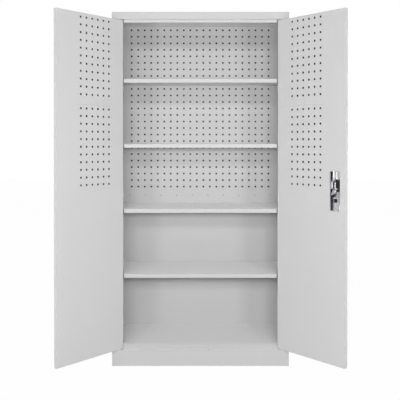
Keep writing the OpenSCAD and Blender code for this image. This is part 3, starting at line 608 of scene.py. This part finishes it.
class PatternTree(NodeSet):
    """A geometry node tree whose named inputs are sizes, baked to a plain mesh."""

    SOCKETS = {int: "NodeSocketInt", float: "NodeSocketFloat", bpy.types.Material: "NodeSocketMaterial"}

    def __init__(self, name: str, sizes: Mapping[str, object]) -> None:
        """Makes the tree and its inputs.

        Args:
            name: the tree's name.
            sizes: the value of each named input.
        """
        super().__init__(bpy.data.node_groups.new(name, "GeometryNodeTree"))
        self.sizes = dict(sizes)
        self.identifiers: dict[str, str] = {}
        for label, value in self.sizes.items():
            kind = next(k for t, k in self.SOCKETS.items() if isinstance(value, t))
            made = self.tree.interface.new_socket(name=label, in_out="INPUT", socket_type=kind)
            self.identifiers[label] = made.identifier
        self.tree.interface.new_socket(name="Geometry", in_out="OUTPUT", socket_type="NodeSocketGeometry")
        self.entry = self.tree.nodes.new("NodeGroupInput")

    def size(self, label: str) -> Wire:
        """The wire of a named input."""
        return Wire(self, self.entry.outputs[label])

    def vector(self, x: Value = 0.0, y: Value = 0.0, z: Value = 0.0) -> Wire:
        """A vector of three values."""
        return self.add("ShaderNodeCombineXYZ", inputs={"X": x, "Y": y, "Z": z})

    def spread(self, points: Wire, piece: Wire) -> None:
        """Ends the tree: a copy of a piece on each point, as plain mesh with its finish.

        Args:
            points: the points.
            piece: the piece to repeat.
        """
        copies = self.add("GeometryNodeInstanceOnPoints", inputs={"Points": points, "Instance": piece})
        plain = self.add("GeometryNodeRealizeInstances", inputs={"Geometry": copies})
        dressed = self.add(
            "GeometryNodeSetMaterial", inputs={"Geometry": plain, "Material": self.size("Finish")}
        )
        self.add("NodeGroupOutput", inputs={0: dressed})

    def bake(self, name: str, place: Matrix) -> bpy.types.Object:
        """Runs the tree and keeps its mesh.

        Args:
            name: the new object's name.
            place: where the pattern goes.

        Returns:
            An object at the origin with the pattern in its mesh.
        """
        carrier = new_object(name, bpy.data.meshes.new(name))
        modifier = carrier.modifiers.new("pattern", "NODES")
        modifier.node_group = self.tree
        for label, value in self.sizes.items():
            modifier[self.identifiers[label]] = value
        graph = bpy.context.evaluated_depsgraph_get()
        mesh = bpy.data.meshes.new_from_object(carrier.evaluated_get(graph), depsgraph=graph)
        carrier.modifiers.remove(modifier)
        mesh.transform(place)
        carrier.data = mesh
        return carrier


def new_object(name: str, mesh: bpy.types.Mesh) -> bpy.types.Object:
    """Adds an object at the origin.

    Args:
        name: its name.
        mesh: its mesh.

    Returns:
        The object.
    """
    piece = bpy.data.objects.new(name, mesh)
    bpy.context.scene.collection.objects.link(piece)
    return piece


def axes(right: Vector, up: Vector, out: Vector, origin: Vector) -> Matrix:
    """The matrix that takes X, Y and Z to three directions from an origin.

    Args:
        right: where X goes.
        up: where Y goes.
        out: where Z goes.
        origin: where the origin goes.

    Returns:
        The matrix.
    """
    turn = Matrix((right, up, out)).transposed().to_4x4()
    return Matrix.Translation(origin) @ turn


@dataclass(frozen=True)
class PunchedField:
    """A field of square peg holes, whose edges carry a thin bead of paint.

    Attributes:
        columns: holes across.
        rows: holes down.
        pitch: distance between holes.
        hole: side of a hole.
        bead: radius of the bead.
        bead_sides: faces round the bead.
        corner_steps: faces round a hole's corner.
    """

    columns: int
    rows: int
    pitch: float = 37 * MM
    hole: float = 9.5 * MM
    bead: float = 0.35 * MM
    bead_sides: int = 5
    corner_steps: int = 2

    def beads(self, name: str, place: Matrix, paint: bpy.types.Material) -> bpy.types.Object:
        """Makes the beads.

        Args:
            name: the piece's name.
            place: takes X along a row, Y up and Z out of the panel, from the lowest row's first hole.
            paint: the paint.

        Returns:
            The piece.
        """
        tree = PatternTree("punched_edges", {
            "Columns": self.columns, "Rows": self.rows, "Pitch": self.pitch,
            "Hole": self.hole, "Bead": self.bead, "Finish": paint,
        })
        grid = tree.add("GeometryNodeMeshGrid", inputs={
            "Size X": (tree.size("Columns") - 1) * tree.size("Pitch"),
            "Size Y": (tree.size("Rows") - 1) * tree.size("Pitch"),
            "Vertices X": tree.size("Columns"),
            "Vertices Y": tree.size("Rows"),
        })
        side = tree.size("Hole") + tree.size("Bead") * 2
        edge = tree.add("GeometryNodeCurvePrimitiveQuadrilateral", inputs={"Width": side, "Height": side})
        eased = tree.add("GeometryNodeFilletCurve", {"mode": "POLY"}, {
            "Curve": edge, "Count": self.corner_steps, "Radius": tree.size("Bead") * 2,
        })
        profile = tree.add("GeometryNodeCurvePrimitiveCircle", inputs={
            "Resolution": self.bead_sides, "Radius": tree.size("Bead"),
        })
        bead = tree.add("GeometryNodeCurveToMesh", inputs={"Curve": eased, "Profile Curve": profile})
        tree.spread(grid, bead)
        middle = Vector(((self.columns - 1) / 2, (self.rows - 1) / 2, 0)) * self.pitch
        return tree.bake(name, place @ Matrix.Translation(middle))


@dataclass(frozen=True)
class CrossHead:
    """Pan head screws in a row, with cross recesses.

    Attributes:
        count: screws in the row.
        spacing: distance between them.
        width: diameter of a head.
        height: height of a head.
        recess: width of the cross recess across its arms.
        arm: width of an arm, as a share of the recess.
        cut_low: floor of the recess, as a share of the head's height.
        cut_high: top of the cutter, as a share of the head's height.
        facets: faces round a head.
        rings: faces from pole to pole of the ball that domes it.
    """

    count: int
    spacing: float
    width: float = 8 * MM
    height: float = 2 * MM
    recess: float = 4 * MM
    arm: float = 0.22
    cut_low: float = 0.3
    cut_high: float = 1.9
    facets: int = 32
    rings: int = 48

    def heads(self, name: str, place: Matrix, plate: bpy.types.Material) -> bpy.types.Object:
        """Makes the heads.

        Args:
            name: the piece's name.
            place: takes X along the row and Z out of the heads, from the first screw's seat.
            plate: the finish.

        Returns:
            The piece.
        """
        dome = (self.width ** 2 / 4 + self.height ** 2) / (2 * self.height)
        tree = PatternTree("cross_heads", {
            "Count": self.count, "Spacing": self.spacing, "Width": self.width,
            "Height": self.height, "Dome": dome, "Recess": self.recess, "Finish": plate,
        })
        size = tree.size
        ball = tree.add("GeometryNodeMeshUVSphere", inputs={
            "Segments": self.facets, "Rings": self.rings, "Radius": size("Dome"),
        })
        ball = tree.add("GeometryNodeTransform", inputs={
            "Geometry": ball, "Translation": tree.vector(z=size("Height") - size("Dome")),
        })
        barrel = tree.add("GeometryNodeMeshCylinder", inputs={
            "Vertices": self.facets, "Radius": size("Width") * 0.5, "Depth": size("Height") * 4,
        })
        barrel = tree.add("GeometryNodeTransform", inputs={
            "Geometry": barrel, "Translation": tree.vector(z=size("Height") * 2),
        })
        head = tree.add("GeometryNodeMeshBoolean", {"operation": "INTERSECT", "solver": "EXACT"}, {
            "Mesh 2": [ball, barrel],
        })
        arm = size("Recess") * self.arm
        depth = size("Height") * (self.cut_high - self.cut_low)
        lift = tree.vector(z=size("Height") * ((self.cut_high + self.cut_low) / 2))
        cross = []
        for box in (tree.vector(size("Recess"), arm, depth), tree.vector(arm, size("Recess"), depth)):
            cube = tree.add("GeometryNodeMeshCube", inputs={"Size": box})
            cross.append(tree.add("GeometryNodeTransform", inputs={"Geometry": cube, "Translation": lift}))
        cut = tree.add("GeometryNodeMeshBoolean", {"operation": "DIFFERENCE", "solver": "EXACT"}, {
            "Mesh 1": head, "Mesh 2": cross,
        })
        row = tree.add("GeometryNodeMeshLine", inputs={
            "Count": size("Count"), "Offset": tree.vector(x=size("Spacing")),
        })
        tree.spread(row, cut)
        return tree.bake(name, place)


# ---------------------------------------------------------------- sub-assemblies


@dataclass
class Door:
    """One open door: where its own directions point, and its punched panels.

    Attributes:
        side: left or right.
        pivot_inset: hinge edge to the hinge axis.
        pivot_depth: hinge axis to the outer face.
        thickness: outer face to inner face.
        lock_middle: hinge edge to the middle of the lock case.
        lock_half: the lock case's middle to the inner face of its side.
        first_column: hinge edge to the first column of holes.
        slant: how far the painted shade in the hollow reaches past the first column, where one looks in at a
            slant.
        first_rows: top edge of each panel to its first row of holes, by the panel's name.
        holes: the holes of one panel.
        name: left or right, as the names of its nodes begin.
        body: the body that it is.
        along: direction from the hinge edge to the free edge.
        inward: direction from the outer face to the inner face.
        corner: the hinge edge of the outer face, on the floor.
    """

    side: Side
    pivot_inset: float = 18 * MM
    pivot_depth: float = 8 * MM
    thickness: float = 20 * MM
    lock_middle: float = 372 * MM
    lock_half: float = 29.9 * MM
    first_column: float = 98 * MM
    slant: float = 42 * MM
    first_rows: Mapping[str, float] = field(
        default_factory=lambda: {"upper": 20 * MM, "lower": 18.5 * MM}
    )
    holes: PunchedField = PunchedField(columns=6, rows=11)
    name: str = field(init=False)
    body: str = field(init=False)
    along: Vector = field(init=False)
    inward: Vector = field(init=False)
    corner: Vector = field(init=False)

    def __post_init__(self) -> None:
        """Works out the door's directions from its hinge."""
        self.name = self.side.name.lower()
        self.body = f"{self.name}_door"
        hinge = next(j for j in frame["joints"] if j["child"] == self.body)
        turn = math.radians(hinge["range_deg"][1])
        sign = self.side.value
        self.along = Vector((-math.cos(turn) * sign, -math.sin(turn), 0))
        self.inward = Vector((-math.sin(turn) * sign, math.cos(turn), 0))
        pivot = Vector((hinge["pos_m"][0], hinge["pos_m"][1], 0))
        self.corner = pivot - self.along * self.pivot_inset - self.inward * self.pivot_depth

    def point(self, u: float, v: float, z: float) -> Vector:
        """A point of the door.

        Args:
            u: distance from the hinge edge.
            v: depth from the outer face.
            z: height over the floor.

        Returns:
            The point in the frame.
        """
        return self.corner + self.along * u + self.inward * v + UP * z

    def shade_box(self) -> ShadeBox:
        """Finds the space between the outer skin and the punched panels, which gets painted shade.

        Returns:
            The space, with the skin's inner face and the panels' backs.
        """
        last_column = self.first_column + (self.holes.columns - 1) * self.holes.pitch
        foot = self._panel("lower")[0].z + MARGIN
        top = self._panel("upper")[1].z - SHEET
        return ShadeBox.between(
            Vector((self.first_column - self.slant, SHEET / 2, foot)),
            Vector((last_column + MARGIN, self.thickness - SKIM, top)),
            axes(self.along, self.inward, UP, self.corner),
        )

    def lock_shaded_side(self) -> ShadeBox:
        """Finds the side of the lock case that lies towards the hinge, which gets painted shade.

        Returns:
            A thin box round that side.
        """
        low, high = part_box("lock_case")
        side = self.lock_middle - self.lock_half
        return ShadeBox.between(
            Vector((side - SHEET / 2, SHEET * 2, low.z)),
            Vector((side + SHEET / 2, self.thickness + SKIM, high.z)),
            axes(self.along, self.inward, UP, self.corner),
        )

    def _panel(self, name: str) -> tuple[Vector, Vector]:
        """The box of the upper or lower punched panel."""
        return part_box(f"{self.name}_door_{name}_peg_panel")

    def dress(self, shop: PaintShop) -> list[bpy.types.Object]:
        """Adds the beads of paint round the peg holes.

        Args:
            shop: the finishes.

        Returns:
            The new pieces.
        """
        pieces = []
        for panel, drop in self.first_rows.items():
            top = self._panel(panel)[1].z
            low = top - drop - (self.holes.rows - 1) * self.holes.pitch
            # Seen from inside, rightwards is away from the right-hand door's hinge, towards the other's
            right = self.along * self.side.value
            first = self.first_column
            if self.side is Side.LEFT:
                first += (self.holes.columns - 1) * self.holes.pitch
            place = axes(right, UP, self.inward, self.point(first, self.thickness, low))
            piece = self.holes.beads(
                f"{self.name}_door_{panel}_hole_edges", place, shop.materials[Slot.PAINT]
            )
            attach(piece, self.body)
            pieces.append(piece)
        return pieces


@dataclass
class Carcass:
    """The standing part: the peg panel's hole edges and the screws of the back.

    Attributes:
        holes: the holes of the peg panel.
        first_row: top of the cabinet to the first row of holes.
        screws_high: screws in each rear flange.
    """

    holes: PunchedField = PunchedField(columns=22, rows=25)
    first_row: float = 23 * MM
    screws_high: int = 6

    def first_hole(self) -> Vector:
        """Finds the left-hand hole of the lowest row.

        Returns:
            Its middle, on the face of the peg panel.
        """
        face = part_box("peg_back_panel")[0].y
        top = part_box("top_panel")[1].z
        x = -(self.holes.columns - 1) / 2 * self.holes.pitch
        z = top - self.first_row - (self.holes.rows - 1) * self.holes.pitch
        return Vector((x, face, z))

    def shade_box(self) -> ShadeBox:
        """Finds the space between the peg panel and the back panel, which gets painted shade.

        Returns:
            The space, with the back panel's inner face and the peg panel's back.
        """
        first = self.first_hole()
        reach = (self.holes.rows - 1) * self.holes.pitch
        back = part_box("back_panel")[0].y + SHEET / 2
        low = Vector((first.x - MARGIN, first.y + SKIM, first.z - MARGIN))
        high = Vector((MARGIN - first.x, back, first.z + reach + MARGIN))
        return ShadeBox.between(low, high)

    def hole_edges(self, shop: PaintShop) -> bpy.types.Object:
        """Adds the beads of paint round the peg panel's holes.

        Args:
            shop: the finishes.

        Returns:
            The new piece.
        """
        place = axes(Vector((1, 0, 0)), UP, Vector((0, -1, 0)), self.first_hole())
        piece = self.holes.beads("peg_back_hole_edges", place, shop.materials[Slot.PAINT])
        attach(piece, "carcass")
        return piece

    def back_screws(self, shop: PaintShop) -> bpy.types.Object:
        """Gives the screws of the back their cross heads.

        Args:
            shop: the finishes.

        Returns:
            The first of the two rows.
        """
        low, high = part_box("back_screws")
        radius = CrossHead.width / 2
        spacing = (high.z - low.z - 2 * radius) / (self.screws_high - 1)
        row = CrossHead(count=self.screws_high, spacing=spacing)
        seat = high.y - row.height
        pieces = []
        for side in Side:
            x = side.value * (high.x - radius)
            start = Vector((x, seat, low.z + radius))
            place = axes(UP, Vector((1, 0, 0)), Vector((0, 1, 0)), start)
            pieces.append(row.heads(f"back_screws_{side.name.lower()}", place, shop.materials[Slot.ZINC]))
        for piece in pieces:
            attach(piece, "carcass")
        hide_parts("back_screws")
        return pieces[0]


@dataclass
class Lever:
    """The handle on the right-hand door: a turned boss and spindle, and a drop-shaped grip.

    Its sizes are in millimetres, and its heights are over the outer face of the door.

    Attributes:
        door: the door that it turns in.
        shop: the finishes.
        length: spindle to the end of the grip.
        tail: spindle to the grip's other end, which lies behind it.
        roundness: how full the grip's sections are, where 1 is an ellipse and less is squarer.
        boss_radius: radius of the boss.
        boss_low: height of the boss's foot.
        grip_height: height of the grip's middle, where the boss ends.
        spindle_radius: radius of the spindle.
        spindle_depth: reach of the round spindle behind the face.
        square_half: half the side of the spindle's square end.
        square_depth: reach of the square end behind the face.
    """

    door: Door
    shop: PaintShop
    length: float = 92.0
    tail: float = -12.4
    roundness: float = 0.85
    boss_radius: float = 12.0
    boss_low: float = 6.3
    grip_height: float = 24.3
    spindle_radius: float = 6.0
    spindle_depth: float = 12.0
    square_half: float = 4.0
    square_depth: float = 17.5

    def dress(self) -> bpy.types.Object:
        """Lays the smooth lever over the plain one.

        Returns:
            The new piece.
        """
        joint = next(j for j in frame["joints"] if j["child"] == "handle")
        origin = Vector(joint["pos_m"])
        place = axes(-self.door.along, UP, -self.door.inward, origin)
        mesh = bpy.data.meshes.new("handle_lever_smooth")
        shape = bmesh.new()
        boss, foot, top = self.boss_radius, self.boss_low, self.grip_height
        self._turn(shape, (
            (0.0, top), (0.65 * boss, top), (0.86 * boss, top - 0.8), (0.93 * boss, top - 3.0),
            (0.9 * boss, top - 9.0), (boss, foot + 3.5), (boss, foot + 1.2), (0.93 * boss, foot),
            (self.spindle_radius, foot), (self.spindle_radius, -self.spindle_depth),
            (0.0, -self.spindle_depth),
        ))
        corner = self.square_half * math.sqrt(2)
        self._turn(shape, (
            (0.0, -self.spindle_depth), (corner, -self.spindle_depth),
            (corner, -self.square_depth), (0.0, -self.square_depth),
        ), steps=4, phase=0.5)
        self._grip(shape)
        shape.transform(place)
        bmesh.ops.recalc_face_normals(shape, faces=shape.faces)
        shape.to_mesh(mesh)
        shape.free()
        piece = new_object("handle_lever_smooth", mesh)
        mesh.shade_smooth()
        self.shop.finish(piece, Slot.CHROME)
        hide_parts("handle_lever")
        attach(piece, "handle")
        return piece

    @staticmethod
    def _turn(
        shape: bmesh.types.BMesh,
        profile: Sequence[tuple[float, float]],
        steps: int = 48,
        phase: float = 0.0,
    ) -> None:
        """Adds a closed turned shape about Z.

        Args:
            shape: the mesh to add to.
            profile: radius and height in millimetres, from one pole to the other.
            steps: points round.
            phase: turn of the first point, as a share of a step.
        """
        rings = []
        for radius, height in profile:
            if radius == 0:
                rings.append([shape.verts.new((0, 0, height * MM))])
                continue
            angles = [(k + phase) * math.tau / steps for k in range(steps)]
            rings.append([
                shape.verts.new((radius * MM * math.cos(a), radius * MM * math.sin(a), height * MM))
                for a in angles
            ])
        bridge(shape, rings)

    def _grip(self, shape: bmesh.types.BMesh, steps: int = 24) -> None:
        """Adds the grip along X.

        Args:
            shape: the mesh to add to.
            steps: points round each section.
        """
        # Place along the grip, half height, half thickness
        sections = (
            (-11.6, 4.0, 1.8), (-9.4, 7.8, 3.2), (-5.5, 11.0, 4.4), (0.0, 12.3, 4.9), (8.0, 11.3, 4.8),
            (18.0, 9.2, 4.5), (31.0, 7.4, 4.0), (46.0, 7.0, 3.9), (61.0, 7.3, 4.0), (74.0, 8.3, 4.3),
            (83.0, 8.9, 4.4), (88.0, 7.0, 3.6), (91.2, 3.2, 1.7),
        )
        rings = [[shape.verts.new((self.tail * MM, 0, self.grip_height * MM))]]
        for x, half_height, half_thick in sections:
            ring = []
            for k in range(steps):
                c, s = math.cos(k * math.tau / steps), math.sin(k * math.tau / steps)
                y = half_height * math.copysign(abs(c) ** self.roundness, c)
                z = self.grip_height + half_thick * math.copysign(abs(s) ** self.roundness, s)
                ring.append(shape.verts.new((x * MM, y * MM, z * MM)))
            rings.append(ring)
        rings.append([shape.verts.new((self.length * MM, 0, self.grip_height * MM))])
        bridge(shape, rings)


def bridge(shape: bmesh.types.BMesh, rings: Sequence[Sequence[bmesh.types.BMVert]]) -> None:
    """Skins rings of vertices, where a ring of one vertex is a pole.

    Args:
        shape: the mesh that holds them.
        rings: the rings in order.
    """
    for first, second in zip(rings, rings[1:]):
        steps = max(len(first), len(second))
        for k in range(steps):
            a, b = first[k % len(first)], first[(k + 1) % len(first)]
            c, d = second[(k + 1) % len(second)], second[k % len(second)]
            corners = list(dict.fromkeys((a, b, c, d)))
            shape.faces.new(corners)


# ---------------------------------------------------------------- studio


@dataclass(frozen=True)
class Softbox:
    """A soft lamp that faces the cabinet.

    Attributes:
        name: its name.
        place: where it stands.
        width: its width.
        height: its height.
        glow: brightness of its face, where 1 is white.
    """

    name: str
    place: tuple[float, float, float]
    width: float
    height: float
    glow: float

    def light(self, aim: Vector) -> None:
        """Hangs the lamp.

        Args:
            aim: the point that it faces.
        """
        lamp = bpy.data.lights.new(self.name, "AREA")
        lamp.shape = "RECTANGLE"
        lamp.size = self.width
        lamp.size_y = self.height
        lamp.energy = self.glow * math.pi * self.width * self.height
        holder = bpy.data.objects.new(self.name, lamp)
        bpy.context.scene.collection.objects.link(holder)
        holder.visible_camera = False
        holder.location = self.place
        holder.rotation_mode = "QUATERNION"
        holder.rotation_quaternion = (aim - Vector(self.place)).to_track_quat("-Z", "Y")


@dataclass
class Studio:
    """Pale floor, white surroundings and soft light.

    Attributes:
        floor_size: side of the floor.
        floor_colour: its colour.
        floor_cloud: how much its tone drifts.
        floor_cloud_size: width of a patch of the drift.
        floor_white: share of plain white in what the camera sees of it.
        world_glow: brightness of the surroundings as a light.
        lamps: the soft lamps.
    """

    floor_size: float = 40.0
    floor_colour: Colour = (0.8, 0.8, 0.8)
    floor_cloud: float = 0.02
    floor_cloud_size: float = 0.6
    floor_white: float = 0.985
    world_glow: float = 0.04
    lamps: Sequence[Softbox] = (
        Softbox("near_left", (-0.3, -3.4, 1.2), 0.6, 0.32, 34.5),
        Softbox("near_right", (0.3, -3.4, 1.2), 0.6, 0.32, 34.5),
        Softbox("wide_left", (-1.6, -3.4, 1.2), 0.6, 0.32, 29.0),
        Softbox("wide_right", (1.6, -3.4, 1.2), 0.6, 0.32, 29.0),
        Softbox("far_left", (-1.2, -9.0, 3.4), 1.2, 0.8, 25.0),
        Softbox("far_right", (0.95, -9.0, 3.4), 1.1, 0.8, 25.0),
        Softbox("behind", (0.0, 7.0, 3.5), 5.0, 3.0, 3.0),
    )

    def build(self) -> None:
        """Makes the floor, the world and the lamps."""
        low, high = CAD_BOX
        aim = (low + high) / 2
        self._floor(aim)
        self._world()
        for lamp in self.lamps:
            lamp.light(aim)

    def _seen(self, nodes: NodeSet) -> Wire:
        """Tells what the camera sees, also in metal or glass, from what only lights the object.

        Args:
            nodes: the node set that it is for.

        Returns:
            1 where the camera sees a thing.
        """
        path = nodes.add("ShaderNodeLightPath", output="Is Camera Ray")
        outputs = path.socket.node.outputs
        glossy = Wire(nodes, outputs["Is Glossy Ray"])
        through = Wire(nodes, outputs["Is Transmission Ray"])
        return path | glossy | through

    def _floor(self, centre: Vector) -> None:
        """Makes the floor, white to the camera apart from the shadow on it.

        Args:
            centre: the point over the floor's middle.
        """
        paint = Finish("studio_floor")
        cloud = paint.noise(self.floor_cloud_size, detail=2.0)
        level = 1 - self.floor_cloud / 2 + cloud * self.floor_cloud
        matt = paint.add("ShaderNodeBsdfDiffuse", inputs={
            "Color": paint.tint(self.floor_colour, level),
        })
        white = paint.add("ShaderNodeEmission", inputs={"Strength": 1.0})
        mixed = paint.add("ShaderNodeMixShader", inputs={
            "Fac": self._seen(paint) * self.floor_white, 1: matt, 2: white,
        })
        paint.add("ShaderNodeOutputMaterial", inputs={"Surface": mixed})
        shape = bmesh.new()
        bmesh.ops.create_grid(shape, x_segments=1, y_segments=1, size=self.floor_size / 2)
        shape.transform(Matrix.Translation((centre.x, centre.y, 0)))
        mesh = bpy.data.meshes.new("studio_floor")
        shape.to_mesh(mesh)
        shape.free()
        mesh.materials.append(paint.material)
        new_object("studio_floor", mesh)

    def _world(self) -> None:
        """Makes the surroundings: white to the camera, softer as a light."""
        world = bpy.data.worlds.new("studio")
        bpy.context.scene.world = world
        world.use_nodes = True
        world.node_tree.nodes.clear()
        nodes = NodeSet(world.node_tree)
        light = nodes.add("ShaderNodeBackground", inputs={
            "Color": (1, 1, 1, 1), "Strength": self.world_glow,
        })
        seen = nodes.add("ShaderNodeBackground", inputs={"Color": (1, 1, 1, 1), "Strength": 1.0})
        mixed = nodes.add("ShaderNodeMixShader", inputs={"Fac": self._seen(nodes), 1: light, 2: seen})
        nodes.add("ShaderNodeOutputWorld", inputs={"Surface": mixed})
        bpy.context.scene.view_settings.view_transform = "Standard"


@dataclass(frozen=True)
class Viewpoint:
    """The photograph's camera.

    Attributes:
        place: where it stands.
        tilt: degrees that it looks down.
        lens: focal length in millimetres.
        sensor: width of the picture behind the lens in millimetres.
        shift_x: sideways shift of the frame.
        shift_y: upward shift of the frame.
        reach: how far it sees.
    """

    place: tuple[float, float, float] = (-0.017, -3.6219, 1.1229)
    tilt: float = 0.5
    lens: float = 64.03
    sensor: float = 36.0
    shift_x: float = 0.0073
    shift_y: float = -0.1208
    reach: float = 100.0

    def set_up(self) -> None:
        """Makes the camera and looks through it."""
        camera = bpy.data.cameras.new("photo_camera")
        camera.sensor_width = self.sensor
        camera.lens = self.lens
        camera.shift_x = self.shift_x
        camera.shift_y = self.shift_y
        camera.clip_end = self.reach
        holder = bpy.data.objects.new("photo_camera", camera)
        bpy.context.scene.collection.objects.link(holder)
        holder.location = self.place
        holder.rotation_euler = (math.radians(90 - self.tilt), 0, 0)
        bpy.context.scene.camera = holder


def main() -> None:
    """Builds the scene in order and reports each piece."""
    logging.basicConfig(level=logging.INFO, format="%(name)s: %(message)s")
    Viewpoint().set_up()
    Studio().build()
    LOG.info("camera, floor and lamps set")
    carcass = Carcass()
    doors = {side: Door(side) for side in Side}
    # The hollows behind the punched holes get painted shade
    shade_boxes = [carcass.shade_box(), *(door.shade_box() for door in doors.values())]
    shop = PaintShop(shade_boxes, doors[Side.RIGHT].lock_shaded_side())
    shop.finish_frame()
    LOG.info("finished %d nodes of the frame", len(frame["nodes"]))
    LOG.info("added %s", carcass.hole_edges(shop).name)
    LOG.info("added %s", carcass.back_screws(shop).name)
    for door in doors.values():
        for piece in door.dress(shop):
            LOG.info("added %s", piece.name)
    LOG.info("added %s", Lever(doors[Side.RIGHT], shop).dress().name)


if __name__ == "__main__":
    main()
